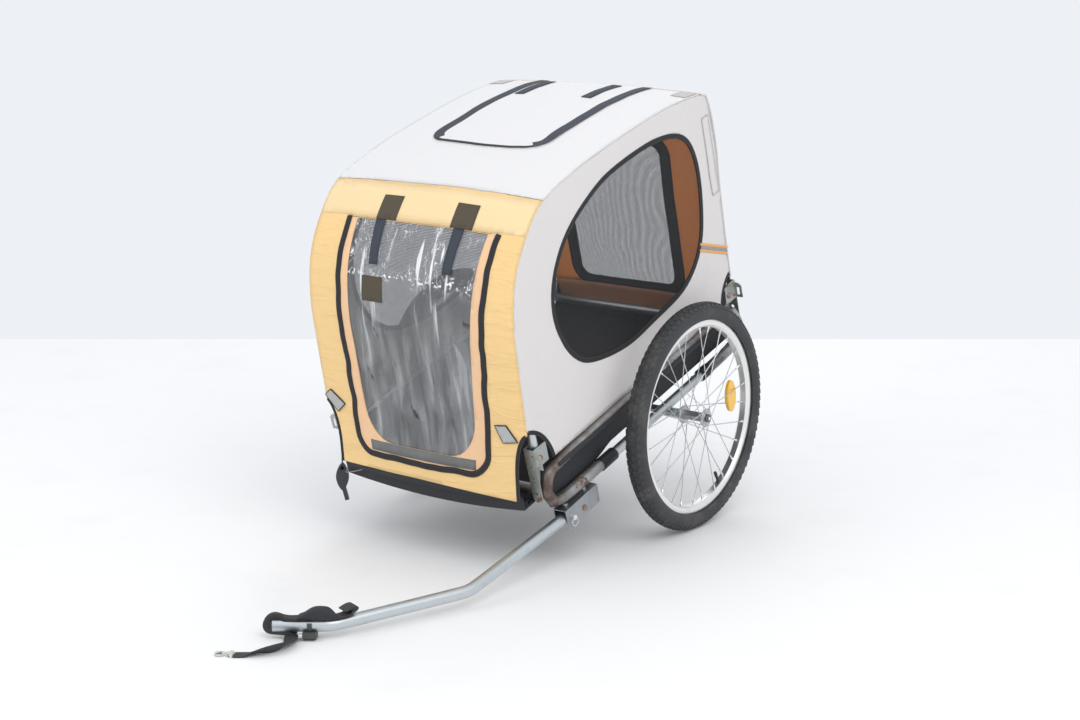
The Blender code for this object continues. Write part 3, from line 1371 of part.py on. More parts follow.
def lanyard_route():
    """From the grip's side round the tub's corner to its front wall, in the chassis frame."""
    edge = CHASSIS.inverted() @ (pin_frame() @ Vector((HANDLE_WIDTH * LANYARD_EDGE[0], LANYARD_EDGE[1], 0)))
    wall = TUB_FRONT_X + CLEAR + LANYARD_RADIUS
    corner = Vector((wall + LANYARD_OUT, LANYARD_CORNER_Y, edge.z + LANYARD_RISE))
    slack = [Vector((wall + out, y, z)) for out, y, z in LANYARD_SLACK]
    return [edge, corner] + slack


# Assembly
def build_wheel(side, chassis):
    name = "left" if side > 0 else "right"
    hub_holder = holder(name + "_axle", (0, side * WHEEL_Y, 0), chassis)
    rubber = surface("tyre_rubber", (0.045, 0.046, 0.050), 0.8)
    alloy = surface("rim_alloy", (0.78, 0.78, 0.75), 0.3, 1.0)
    amber = surface("amber_lens", (0.95, 0.60, 0.12), 0.25)
    piece(name + "_tyre", tyre(side), rubber, hub_holder)
    piece(name + "_rim", rim(side), alloy, hub_holder)
    piece(name + "_hub", hub(side), plated(), hub_holder)
    piece(name + "_reflector", reflector(side), amber, hub_holder)
    piece(name + "_axle_pin", axle_pin(side), plated(), hub_holder)
    piece(name + "_push_button", button(side), plated(), hub_holder)


def build_side(side, chassis):
    name = "left" if side > 0 else "right"
    piece(name + "_side_frame", side_frame(side), steel(), chassis)
    piece(name + "_middle_tube", middle_tube(side), steel(), chassis)
    sleeves = (("_front_ferrule", FRONT_LEG_X, 1, FERRULE_LENGTH),
               ("_rear_ferrule", REAR_LEG_X, -1, REAR_FERRULE_LENGTH))
    for label, leg_x, way, length in sleeves:
        piece(name + label, ferrule(side, leg_x, way, length), black_plastic(), chassis)
    ends = (("front", FRONT_WEB_X, FRONT_BRACKET_DEPTH, FRONT_PIVOT_X, 1),
            ("rear", REAR_WEB_X, REAR_BRACKET_DEPTH, REAR_PIVOT_X, -1))
    for end, web_x, depth, pivot_x, way in ends:
        bracket = corner_bracket(side, web_x, depth, pivot_x, way)
        piece(name + "_" + end + "_bracket", bracket, steel(), chassis)
        piece(name + "_" + end + "_pivot_bolt", pivot_bolt(side, pivot_x), plated(), chassis)
    piece(name + "_side_panel", side_panel(side), pale_fabric(), chassis)
    piece(name + "_window_net", side_net(side), netting(), chassis)


def build_cabin(chassis):
    piece("tub", tub(), black_fabric(), chassis)
    piece("front_panel", front_panel(), yellow_fabric(), chassis)
    piece("roof_panel", roof_panel(), pale_fabric(), chassis)
    piece("rear_panel", rear_panel(), yellow_fabric(), chassis)
    piece("rear_window_net", rear_window_net(), netting(), chassis)
    piece("roof_window_net", roof_window_net(), netting(), chassis)
    top = max(x for x, z in FRONT_PROFILE if z >= DOOR_TOP_Z)
    hinge_at = (top + HINGE_LIFT[0], 0, DOOR_TOP_Z + HINGE_LIFT[1])
    door_hinge = holder("front_door_hinge", hinge_at, chassis)
    piece("front_door", front_door(), yellow_fabric(), door_hinge)
    clear_sheet = surface("clear_sheet", (0.75, 0.76, 0.76), 0.1)
    piece("door_window", door_window(), clear_sheet, door_hinge)
    flap_at = (FLAP[0], 0, ROOF_END_PROFILE[1] + CROWN + FLAP_THICKNESS)
    flap_hinge = holder("roof_flap_hinge", flap_at, chassis)
    piece("roof_flap", roof_flap(), pale_fabric(), flap_hinge)
    front = holder("front_hoop_pivot", (FRONT_PIVOT_X, 0, PIVOT_Z), chassis)
    rear = holder("rear_hoop_pivot", (REAR_PIVOT_X, 0, PIVOT_Z), chassis)
    piece("front_hoop", front_hoop(), steel(), front)
    piece("rear_hoop", rear_hoop(), steel(), rear)


def build_arm(chassis):
    pivot = holder("tow_arm_pivot", ARM_PIVOT, chassis)
    piece("tow_arm", tow_arm(), steel(), pivot)
    piece("arm_end_cap", end_cap(), black_plastic(), pivot)
    piece("arm_clamp", clamp(), black_plastic(), pivot)
    piece("arm_pad", arm_pad(), black_fabric(), pivot)
    piece("safety_strap", safety_strap(), black_fabric(), pivot)
    milky = surface("milky_plastic", (0.80, 0.80, 0.76), 0.3)
    piece("snap_hook", snap_hook(), milky, pivot)
    nut_at = CHASSIS.inverted() @ tip_frame() @ Vector((-CLAMP_BACK[0], NUT_SIDE, NUT_HEIGHT))
    piece("clamp_wing_nut", wing_nut(), plated(), holder("wing_nut_axis", nut_at, pivot))
    gate_x = HOOK_START + HOOK_LENGTH - HOOK_RADIUS + MOUTH[0]
    gate_at = CHASSIS.inverted() @ tip_frame() @ Vector((gate_x, HOOK_SIDE + HOOK_RADIUS - GATE_OFFSET, 0))
    piece("snap_hook_gate", hook_gate(), milky, holder("hook_gate_pivot", gate_at, pivot))
    piece("hitch_bracket", hitch_channel(), steel(), chassis)
    piece("arm_pivot_bolt", cross_bolt(ARM_PIVOT), plated(), chassis)
    piece("arm_lock_pin", lock_pin(), plated(), holder("lock_pin_axis", lock_point(), chassis))


def build_trailer():
    clear_scene()
    chassis = holder("chassis")
    piece("axle_tube", axle_tube(), surface("dark_steel", (0.20, 0.20, 0.21), 0.4, 1.0), chassis)
    piece("front_crossbar", crossbar(FRAME_FRONT_X), steel(), chassis)
    piece("rear_crossbar", crossbar(FRAME_REAR_X), steel(), chassis)
    for side in (1, -1):
        build_side(side, chassis)
        build_wheel(side, chassis)
    build_cabin(chassis)
    build_arm(chassis)
    cord("tether_cord", in_chassis(smooth(tether_route(), 1)), TETHER_RADIUS, black_plastic(), chassis)
    piece("tether_pin", tether_pin(), black_plastic(), chassis)
    thin_cord = surface("grey_cord", (0.35, 0.35, 0.35), 0.8)
    cord("lanyard", smooth(lanyard_route(), 2), LANYARD_RADIUS, thin_cord, chassis)


build_trailer()
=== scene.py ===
"""Dressed model of a two-wheeled bicycle trailer with a folding fabric cabin, parked on its tow arm.

Metres, +Z up, +X towards the tow arm, +Y to the trailer's left.
Most shapes are drawn in the chassis frame, which leans forward on the axle, and are then put in place.
"""
import bmesh
import bpy
import json
from math import acos, atan2, cos, pi, radians, sin, sqrt
from mathutils import Matrix, Vector, noise

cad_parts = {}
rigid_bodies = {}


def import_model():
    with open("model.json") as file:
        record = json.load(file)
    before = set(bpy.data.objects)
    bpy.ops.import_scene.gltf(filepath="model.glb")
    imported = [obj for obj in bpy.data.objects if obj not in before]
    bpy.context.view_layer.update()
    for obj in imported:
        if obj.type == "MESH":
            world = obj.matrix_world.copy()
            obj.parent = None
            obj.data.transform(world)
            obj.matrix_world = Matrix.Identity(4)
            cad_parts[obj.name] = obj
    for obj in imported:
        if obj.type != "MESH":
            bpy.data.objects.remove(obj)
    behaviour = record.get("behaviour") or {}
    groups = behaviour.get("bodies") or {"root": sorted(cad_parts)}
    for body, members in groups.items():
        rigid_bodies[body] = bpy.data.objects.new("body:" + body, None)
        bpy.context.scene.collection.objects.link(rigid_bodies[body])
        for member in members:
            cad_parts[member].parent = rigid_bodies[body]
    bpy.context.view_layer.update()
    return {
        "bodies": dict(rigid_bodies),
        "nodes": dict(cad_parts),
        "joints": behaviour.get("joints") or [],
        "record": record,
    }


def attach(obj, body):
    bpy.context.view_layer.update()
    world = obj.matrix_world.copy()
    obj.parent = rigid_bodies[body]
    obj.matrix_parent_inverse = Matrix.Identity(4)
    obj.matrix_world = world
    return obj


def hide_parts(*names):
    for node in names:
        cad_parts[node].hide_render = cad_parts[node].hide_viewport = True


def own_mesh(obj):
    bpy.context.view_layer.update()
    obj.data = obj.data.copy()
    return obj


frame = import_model()

# Stance, as in the part
PITCH = radians(17.3)
AXLE_X = -0.4375
TYRE_RADIUS = 0.245
CHASSIS = Matrix.Translation((AXLE_X, 0, TYRE_RADIUS)) @ Matrix.Rotation(PITCH, 4, "Y")
CLEAR = 0.0003

# Camera
CAMERA_AT = (3.2063424, 2.63510162, 1.34978105)
CAMERA_YAW = radians(36.7723)
CAMERA_PITCH = radians(12.8650)
CAMERA_LENS = 69.76
CAMERA_SENSOR = 36
CAMERA_NEAR = 0.05


def place_camera():
    """A camera where the photograph was taken from."""
    level = cos(CAMERA_PITCH)
    ahead = Vector((-cos(CAMERA_YAW) * level, -sin(CAMERA_YAW) * level, -sin(CAMERA_PITCH)))
    right = ahead.cross(Vector((0, 0, 1))).normalized()
    turn = Matrix((right, right.cross(ahead), -ahead)).transposed().to_4x4()
    data = bpy.data.cameras.new("camera")
    data.lens = CAMERA_LENS
    data.sensor_width = CAMERA_SENSOR
    data.clip_start = CAMERA_NEAR
    camera = bpy.data.objects.new("camera", data)
    bpy.context.collection.objects.link(camera)
    camera.matrix_world = Matrix.Translation(CAMERA_AT) @ turn
    bpy.context.scene.camera = camera


# Shader helpers
RIDGE_SHARE = 0.35
DASH_SHARE = 0.68


def put(tree, kind, sockets=None, **settings):
    """Add a node, set its options, and link or set its sockets."""
    node = tree.nodes.new(kind)
    for key, value in settings.items():
        setattr(node, key, value)
    for key, value in (sockets or {}).items():
        if isinstance(value, bpy.types.NodeSocket):
            tree.links.new(value, node.inputs[key])
        else:
            node.inputs[key].default_value = value
    return node


def maths(tree, operation, *values):
    return put(tree, "ShaderNodeMath", dict(enumerate(values)), operation=operation).outputs[0]


def times(tree, first, second):
    return maths(tree, "MULTIPLY", first, second)


def plus(tree, first, second):
    return maths(tree, "ADD", first, second)


def off_middle(tree, value):
    """How far a value is from a half, without its sign."""
    return maths(tree, "ABSOLUTE", maths(tree, "SUBTRACT", value, 0.5))


def mixed(tree, share, first, second, blend="MIX"):
    """A colour mixed from two by a share."""
    sockets = {0: share, 6: first, 7: second}
    return put(tree, "ShaderNodeMix", sockets, data_type="RGBA", blend_type=blend).outputs[2]


def ranged(tree, value, low, high, out_low=0.0, out_high=1.0):
    """A value carried from one range to another, and held at the range's ends."""
    sockets = {"Value": value, "From Min": low, "From Max": high, "To Min": out_low, "To Max": out_high}
    return put(tree, "ShaderNodeMapRange", sockets).outputs[0]


def clouds(tree, vector, scale, detail, **more):
    """The value of a noise texture."""
    sockets = {"Vector": vector, "Scale": scale, "Detail": detail, **more}
    return put(tree, "ShaderNodeTexNoise", sockets).outputs["Fac"]


def axes(tree, vector):
    return put(tree, "ShaderNodeSeparateXYZ", {"Vector": vector}).outputs


def drawn_out(tree, vector, scale, turn=(0.0, 0.0, 0.0)):
    sockets = {"Vector": vector, "Scale": scale, "Rotation": turn}
    return put(tree, "ShaderNodeMapping", sockets).outputs["Vector"]


def effect(name, inputs, outputs):
    """A shader node group with named inputs and outputs, and its two inner ends."""
    group = bpy.data.node_groups.new(name, "ShaderNodeTree")
    kinds = {"v": "NodeSocketVector", "f": "NodeSocketFloat", "c": "NodeSocketColor"}
    for label, kind, value in inputs:
        socket = group.interface.new_socket(label, in_out="INPUT", socket_type=kinds[kind])
        if value is not None:
            socket.default_value = value
    for label, kind in outputs:
        group.interface.new_socket(label, in_out="OUTPUT", socket_type=kinds[kind])
    return group, group.nodes.new("NodeGroupInput").outputs, group.nodes.new("NodeGroupOutput").inputs


def speckle_effect():
    """Patches of a second colour with ragged edges, such as rust, dust or stains."""
    inputs = [("Vector", "v", None), ("Clean", "c", (1, 1, 1, 1)), ("Patch", "c", (0, 0, 0, 1)),
              ("Scale", "f", 10), ("Cover", "f", 0.3), ("Softness", "f", 0.1)]
    group, given, result = effect("patches", inputs, [("Color", "c"), ("Mask", "f")])
    wide = clouds(group, given["Vector"], given["Scale"], detail=6.0, Roughness=0.65)
    edge = maths(group, "SUBTRACT", 1.0, given["Cover"])
    top = plus(group, edge, given["Softness"])
    mask = ranged(group, ranged(group, wide, 0.25, 0.75), edge, top)
    group.links.new(mask, result["Mask"])
    group.links.new(mixed(group, mask, given["Clean"], given["Patch"]), result["Color"])
    return group


def weave_effect():
    """Plain weave: the height of the threads over and under each other, from a vector in metres."""
    inputs = [("Vector", "v", None), ("Pitch", "f", 0.0008)]
    group, given, result = effect("weave", inputs, [("Height", "f")])
    parts = axes(group, given["Vector"])
    waves = []
    for axis in "XY":
        turns = maths(group, "DIVIDE", parts[axis], given["Pitch"])
        waves.append(maths(group, "SINE", times(group, turns, pi)))
    over = maths(group, "GREATER_THAN", times(group, *waves), 0.0)
    under = maths(group, "SUBTRACT", 1.0, over)
    first, second = (maths(group, "ABSOLUTE", wave) for wave in waves)
    group.links.new(plus(group, times(group, first, over), times(group, second, under)), result["Height"])
    return group


def crease_effect():
    """Soft creases and pulls in hanging cloth, as a height."""
    group, given, result = effect("creases", [("Vector", "v", None), ("Scale", "f", 8)], [("Height", "f")])
    bend = clouds(group, given["Vector"], given["Scale"], detail=2.0)
    fine = clouds(group, given["Vector"], times(group, given["Scale"], 4.0), detail=3.0, Distortion=1.6)
    ridge = off_middle(group, fine)
    group.links.new(plus(group, bend, times(group, ridge, RIDGE_SHARE)), result["Height"])
    return group


def stitch_effect():
    """Dashes of thread in rows at both sides of a strip. U is the length and V the way across, in metres."""
    inputs = [("Vector", "v", None), ("Pitch", "f", 0.004), ("Row", "f", 0.006), ("Thread", "f", 0.0006)]
    group, given, result = effect("stitches", inputs, [("Mask", "f")])
    parts = axes(group, given["Vector"])
    away = maths(group, "SUBTRACT", maths(group, "ABSOLUTE", parts["Y"]), given["Row"])
    row = maths(group, "LESS_THAN", maths(group, "ABSOLUTE", away), given["Thread"])
    share = maths(group, "FRACT", maths(group, "DIVIDE", parts["X"], given["Pitch"]))
    dash = maths(group, "LESS_THAN", share, DASH_SHARE)
    group.links.new(times(group, row, dash), result["Mask"])
    return group


def holes_effect():
    """Round holes in staggered rows, as the share of a net that is thread."""
    inputs = [("Vector", "v", None), ("Pitch", "f", 0.0024), ("Hole", "f", 0.62)]
    group, given, result = effect("net_holes", inputs, [("Alpha", "f")])
    parts = axes(group, given["Vector"])
    across, along = (maths(group, "DIVIDE", parts[axis], given["Pitch"]) for axis in "XY")
    odd = maths(group, "FLOORED_MODULO", maths(group, "FLOOR", along), 2.0)
    moved = plus(group, across, times(group, odd, 0.5))
    dx, dy = (off_middle(group, maths(group, "FRACT", value)) for value in (moved, along))
    reach = maths(group, "SQRT", plus(group, times(group, dx, dx), times(group, dy, dy)))
    thread = maths(group, "GREATER_THAN", reach, times(group, given["Hole"], 0.5))
    group.links.new(thread, result["Alpha"])
    return group


PATCHES = speckle_effect()
WEAVE = weave_effect()
CREASES = crease_effect()
STITCHES = stitch_effect()
HOLES = holes_effect()


def colour(red, green, blue):
    return (red, green, blue, 1.0)


def shaded(base, share):
    """A colour made darker or lighter by a share."""
    return tuple(c * share for c in base[:3]) + (1.0,)


def new_material(name, base, roughness, metallic=0.0, **fixed):
    """A Principled material, its tree, its shader and its Object coordinates."""
    material = bpy.data.materials.new(name)
    material.use_nodes = True
    tree = material.node_tree
    shader = tree.nodes["Principled BSDF"]
    shader.inputs["Base Color"].default_value = base
    shader.inputs["Roughness"].default_value = roughness
    shader.inputs["Metallic"].default_value = metallic
    for key, value in fixed.items():
        shader.inputs[key.replace("_", " ")].default_value = value
    place = put(tree, "ShaderNodeTexCoord").outputs["Object"]
    return material, tree, shader, place


def grouped(tree, group, **sockets):
    return put(tree, "ShaderNodeGroup", sockets, node_tree=group).outputs


def speckled(tree, place, clean, patch, scale, cover, softness):
    """The colour and the mask of patches over a clean colour."""
    return grouped(tree, PATCHES, Vector=place, Clean=clean, Patch=patch, Scale=scale, Cover=cover,
                   Softness=softness)


def flat_map(tree):
    return put(tree, "ShaderNodeUVMap", uv_map="cloth").outputs["UV"]


def bumped(tree, shader, height, strength, distance):
    sockets = {"Height": height, "Strength": strength, "Distance": distance}
    tree.links.new(put(tree, "ShaderNodeBump", sockets).outputs["Normal"], shader.inputs["Normal"])


# Materials
RUST = colour(0.20, 0.095, 0.045)
DUST = colour(0.32, 0.29, 0.25)
METAL_GRAIN = 900.0
PLASTIC_GRAIN = 700.0
TARNISH = 0.62
SOIL = 0.72
FADING = 1.8
RUST_ROUGHNESS = 0.85
CLOTH_ROUGHNESS = 0.72
WEAVE_HEIGHT = 0.0004
CREASE_HEIGHT = 0.010
STITCH_HEIGHT = 0.0003
STITCH_PITCH = 0.004
STITCH_THREAD = 0.0005
NET_PITCH = 0.0022
# Heights on the clear sheet: the band and the crest line where its highlights are painted, the band of
# painted shine, and the fall of its dust
HIGHLIGHT_STREAK_Z = (0.555, 0.585)
CREST_Z = 0.588
SHINE_Z = (0.44, 0.60)
DUST_Z = (0.60, 0.40)


def metal(name, base, roughness, rust=0.0, rust_colour=RUST, scale=60.0, stain=0.3, stain_colour=None):
    """Metal with cloudy tarnish and rust patches that are rough and not metallic."""
    material, tree, shader, place = new_material(name, base, roughness, 1.0)
    dull = stain_colour or shaded(base, TARNISH)
    cloud = speckled(tree, place, base, dull, scale=scale * 0.35, cover=stain, softness=0.6)
    flakes = speckled(tree, place, cloud["Color"], rust_colour, scale, cover=rust, softness=0.10)
    tree.links.new(flakes["Color"], shader.inputs["Base Color"])
    tree.links.new(ranged(tree, flakes["Mask"], 0, 1, 1.0, 0.1), shader.inputs["Metallic"])
    rough = ranged(tree, flakes["Mask"], 0, 1, roughness, RUST_ROUGHNESS)
    tree.links.new(plus(tree, times(tree, cloud["Mask"], 0.18), rough), shader.inputs["Roughness"])
    grain = times(tree, clouds(tree, place, METAL_GRAIN, detail=2.0), 0.12)
    bumped(tree, shader, plus(tree, grain, flakes["Mask"]), strength=0.35, distance=0.0004)
    return material


def browned(material, low, high, brown):
    """Brown a tube with rust towards the tow arm: from the low place on, and fully beyond the high one."""
    tree = material.node_tree
    shader = tree.nodes["Principled BSDF"]
    clean = shader.inputs["Base Color"].links[0].from_socket
    place = put(tree, "ShaderNodeTexCoord").outputs["Object"]
    spots = ranged(tree, clouds(tree, place, scale=45.0, detail=4.0), 0.35, 0.60, 0.45, 0.92)
    share = times(tree, ranged(tree, axes(tree, place)["X"], low, high), spots)
    tree.links.new(mixed(tree, share, clean, brown), shader.inputs["Base Color"])


def plastic(name, base, roughness, dust=0.25, dust_colour=DUST, **fixed):
    """Moulded plastic or rubber with a fine grain and some dust."""
    material, tree, shader, place = new_material(name, base, roughness, **fixed)
    dusty = speckled(tree, place, base, dust_colour, scale=22.0, cover=dust, softness=0.9)
    tree.links.new(dusty["Color"], shader.inputs["Base Color"])
    rough = ranged(tree, dusty["Mask"], 0, 1, roughness, min(1.0, roughness + 0.3))
    tree.links.new(rough, shader.inputs["Roughness"])
    grain = clouds(tree, place, PLASTIC_GRAIN, detail=3.0)
    bumped(tree, shader, grain, strength=0.25, distance=0.0003)
    return material


def cloth(name, base, pitch=0.0007, creases=0.5, stain=0.12, stain_colour=None, rows=None, thread=None,
          weave=0.25, scale=7.0, pull=(1.0, 1.0, 1.0), **fixed):
    """Woven cloth from a UV map in metres, with creases, faint soiling, painted shade between its threads and
    stitch rows.
    """
    material, tree, shader, place = new_material(name, base, CLOTH_ROUGHNESS, **fixed)
    flat = flat_map(tree)
    woven = grouped(tree, WEAVE, Vector=flat, Pitch=pitch)["Height"]
    soiled = stain_colour or shaded(base, SOIL)
    worn = speckled(tree, place, base, soiled, scale=9.0, cover=stain, softness=1.0)
    # Painted shade: the colour is darkened down to 0.86 in the hollows between the woven threads
    tint = mixed(tree, 1.0, worn["Color"], ranged(tree, woven, 0, 1, 0.86, 1.0), "MULTIPLY")
    folds = grouped(tree, CREASES, Vector=drawn_out(tree, place, pull), Scale=scale)["Height"]
    height = times(tree, woven, weave * WEAVE_HEIGHT)
    if rows is not None:
        sewn = grouped(tree, STITCHES, Vector=flat, Pitch=STITCH_PITCH, Row=rows, Thread=STITCH_THREAD)
        sewn = sewn["Mask"]
        tint = mixed(tree, sewn, tint, thread or base)
        height = plus(tree, height, times(tree, sewn, STITCH_HEIGHT))
    tree.links.new(tint, shader.inputs["Base Color"])
    height = plus(tree, height, times(tree, folds, creases * CREASE_HEIGHT))
    bumped(tree, shader, height, strength=1.0, distance=1.0)
    return material


def net_material(name, base, hole):
    """Netting whose holes are open."""
    material, tree, shader, place = new_material(name, base, 0.7)
    thread = grouped(tree, HOLES, Vector=flat_map(tree), Pitch=NET_PITCH, Hole=hole)["Alpha"]
    tree.links.new(thread, shader.inputs["Alpha"])
    worn = speckled(tree, place, base, shaded(base, FADING), scale=6.0, cover=0.3, softness=1.0)
    tree.links.new(worn["Color"], shader.inputs["Base Color"])
    return material


def clear_material():
    """Clear sheet with long soft folds, painted highlights on the creases of its upper part and dust in its
    lower part.
    """
    material, tree, shader, place = new_material("clear_sheet", colour(0.70, 0.71, 0.71), 0.10)
    shader.inputs["Specular IOR Level"].default_value = 0.9
    height = axes(tree, place)["Z"]
    hung = drawn_out(tree, place, (1.0, 2.6, 0.7), (0.35, 0.0, 0.0))
    folds = clouds(tree, hung, scale=11.0, detail=3.0, Distortion=0.6)
    fine = clouds(tree, hung, scale=34.0, detail=3.0, Distortion=1.4)
    spots = clouds(tree, place, scale=21.0, detail=3.0)
    # Painted highlights: thin white streaks on the creases of the upper band, glints along the fold's crest
    # and patches of shine, in place of the lamps' reflections
    line = times(tree, ranged(tree, off_middle(tree, fine), 0.004, 0.020, 1.0, 0.0),
                 ranged(tree, height, *HIGHLIGHT_STREAK_Z))
    highlight_streaks = times(tree, line, ranged(tree, spots, 0.47, 0.56))
    sway = plus(tree, height, times(tree, maths(tree, "SUBTRACT", spots, 0.5), 0.05))
    away = maths(tree, "ABSOLUTE", maths(tree, "SUBTRACT", sway, CREST_Z))
    glints = ranged(tree, clouds(tree, place, scale=150.0, detail=2.0), 0.55, 0.62)
    crest_glints = times(tree, ranged(tree, away, 0.002, 0.012, 1.0, 0.0), glints)
    pulled = drawn_out(tree, place, (1.0, 4.4, 0.42), (-0.16, 0.0, 0.0))
    drawn = clouds(tree, pulled, scale=14.0, detail=2.0)
    shine = times(tree, ranged(tree, drawn, 0.585, 0.66), ranged(tree, height, *SHINE_Z, 0.12, 0.85))
    painted_highlights = maths(tree, "MAXIMUM", maths(tree, "MAXIMUM", highlight_streaks, crest_glints), shine)
    film = times(tree, ranged(tree, folds, 0.3, 0.7), ranged(tree, drawn, 0.25, 0.60))
    dust = times(tree, ranged(tree, height, *DUST_Z), film)
    # The painted highlights are also made nearly opaque
    alpha = plus(tree, times(tree, dust, 0.46), times(tree, painted_highlights, 0.85))
    tree.links.new(plus(tree, alpha, 0.14), shader.inputs["Alpha"])
    # The colour turns white where the highlights are painted
    tint = mixed(tree, painted_highlights, colour(0.62, 0.64, 0.65), colour(0.95, 0.95, 0.95))
    tree.links.new(tint, shader.inputs["Base Color"])
    bumped(tree, shader, plus(tree, folds, times(tree, fine, 0.15)), strength=1.0, distance=0.014)
    return material


ZINC = metal("zinc_plate", colour(0.44, 0.47, 0.45), 0.50, rust=0.36, scale=42.0, stain=0.5,
             stain_colour=colour(0.27, 0.26, 0.22))
HITCH_ZINC = metal("hitch_plate", colour(0.38, 0.40, 0.42), 0.40, rust=0.10, scale=80.0, stain=0.45,
                   stain_colour=colour(0.25, 0.26, 0.27))
TUBE = metal("silver_tube", colour(0.58, 0.62, 0.64), 0.40, rust=0.05, scale=85.0, stain=0.4,
             stain_colour=colour(0.44, 0.47, 0.49))
PATINA = metal("tarnished_tube", colour(0.53, 0.56, 0.56), 0.46, rust=0.34, scale=26.0, stain=0.75,
               rust_colour=colour(0.15, 0.085, 0.06), stain_colour=colour(0.24, 0.19, 0.175))
browned(PATINA, -0.085, -0.020, colour(0.135, 0.088, 0.068))
DARK_STEEL = metal("dark_axle", colour(0.16, 0.16, 0.17), 0.40, rust=0.1)
CHROME = metal("bright_plate", colour(0.82, 0.83, 0.84), 0.16, rust=0.04, scale=90.0, stain=0.2)
RUSTY_BOLT = metal("rusty_bolt", colour(0.45, 0.40, 0.36), 0.5, rust=0.55, scale=160.0, stain=0.6,
                   rust_colour=colour(0.30, 0.15, 0.09))
ALLOY = metal("rim_alloy", colour(0.84, 0.84, 0.82), 0.34, scale=30.0, stain=0.25)
HUB_STEEL = metal("hub_steel", colour(0.50, 0.51, 0.52), 0.36, rust=0.05, scale=90.0, stain=0.4)
SPOKE = metal("spoke_steel", colour(0.62, 0.63, 0.64), 0.42, rust=0.1, scale=80.0)
RUBBER = plastic("tyre_rubber", colour(0.038, 0.039, 0.042), 0.66, dust=0.5,
                 dust_colour=colour(0.15, 0.14, 0.13))
BLACK = plastic("black_moulding", colour(0.022, 0.022, 0.025), 0.42, dust=0.2,
                dust_colour=colour(0.10, 0.095, 0.09))
GRIP = plastic("blue_black_moulding", colour(0.030, 0.036, 0.046), 0.35, dust=0.18,
               dust_colour=colour(0.10, 0.10, 0.11))
BLOCK = plastic("grey_green_moulding", colour(0.055, 0.062, 0.058), 0.55, dust=0.4,
                dust_colour=colour(0.16, 0.15, 0.13))
MILKY = plastic("milky_moulding", colour(0.80, 0.80, 0.74), 0.28, dust=0.15,
                dust_colour=colour(0.60, 0.57, 0.48), Transmission_Weight=0.35, IOR=1.45)
AMBER = plastic("amber_lens", colour(0.90, 0.52, 0.06), 0.10, dust=0.1,
                dust_colour=colour(0.62, 0.36, 0.12), Coat_Weight=0.6)
GREY_CORD = plastic("grey_cord", colour(0.35, 0.34, 0.33), 0.8)
PALE = cloth("pale_cloth", colour(0.76, 0.73, 0.71), creases=0.45, scale=5.0, Sheen_Weight=0.1)
ROOF = cloth("roof_cloth", colour(0.82, 0.81, 0.805), creases=0.35, scale=5.0, Sheen_Weight=0.1)
YELLOW = cloth("yellow_cloth", colour(0.96, 0.66, 0.29), creases=2.2, scale=3.2, pull=(1.0, 0.45, 2.6),
               stain_colour=colour(0.86, 0.50, 0.20), Sheen_Weight=0.1)
LIGHT_YELLOW = cloth("header_cloth", colour(0.96, 0.73, 0.40), creases=0.35, pull=(1.0, 0.5, 2.0),
                     Sheen_Weight=0.1)
DOOR_YELLOW = cloth("door_cloth", colour(0.93, 0.60, 0.34), creases=1.3, pull=(1.0, 1.6, 1.0),
                    Sheen_Weight=0.1)
# The rear panel's and the apron's yellow cloth, painted darker and redder: painted shade, as they are seen
# from inside the cabin
SHADED_REAR_YELLOW = cloth("rear_cloth", colour(0.80, 0.285, 0.125), Subsurface_Weight=0.3)
BLACK_CLOTH = cloth("black_cloth", colour(0.028, 0.029, 0.034), pitch=0.0012, creases=0.7, stain=0.3,
                    stain_colour=colour(0.075, 0.07, 0.065), scale=10.0)
BINDING = cloth("binding_tape", colour(0.018, 0.018, 0.021), pitch=0.0010, creases=0.1, rows=0.0040,
                thread=colour(0.06, 0.06, 0.065), weave=0.8)
WEBBING = cloth("webbing", colour(0.045, 0.044, 0.045), pitch=0.0016, creases=0.1, stain=0.3, rows=0.0095,
                stain_colour=colour(0.13, 0.11, 0.09), thread=colour(0.02, 0.02, 0.02), weave=1.0)
STRAP = cloth("blue_grey_strap", colour(0.045, 0.055, 0.075), pitch=0.0012, creases=0.1, weave=0.8)
HOOK_TAPE = cloth("olive_hook_tape", colour(0.095, 0.075, 0.045), pitch=0.0016, creases=0.1, weave=1.0,
                  stain_colour=colour(0.17, 0.14, 0.09), stain=0.4)
GREY_TAPE = cloth("grey_stripe", colour(0.33, 0.34, 0.35), pitch=0.0009, creases=0.1)
DULL_TAPE = cloth("dull_strip", colour(0.16, 0.165, 0.16), pitch=0.0014, creases=0.2, stain=0.5,
                  stain_colour=colour(0.30, 0.30, 0.28))
ORANGE_TAPE = cloth("orange_stripe", colour(0.88, 0.42, 0.13), pitch=0.0009, creases=0.1)
SILVER_TAB = cloth("reflective_tab", colour(0.52, 0.52, 0.51), pitch=0.0030, creases=0.2, weave=1.5,
                   rows=0.008, thread=colour(0.2, 0.2, 0.2))
SEAM_TAPE = cloth("seam_cloth", colour(0.56, 0.54, 0.53), creases=0.2, rows=0.006,
                  thread=colour(0.25, 0.25, 0.25))
NET = net_material("black_net", colour(0.045, 0.047, 0.05), 0.72)
SIDE_NET = net_material("side_net", colour(0.045, 0.047, 0.05), 0.92)
DOOR_NET = net_material("door_net", colour(0.040, 0.041, 0.045), 0.60)
CLEAR_SHEET = clear_material()

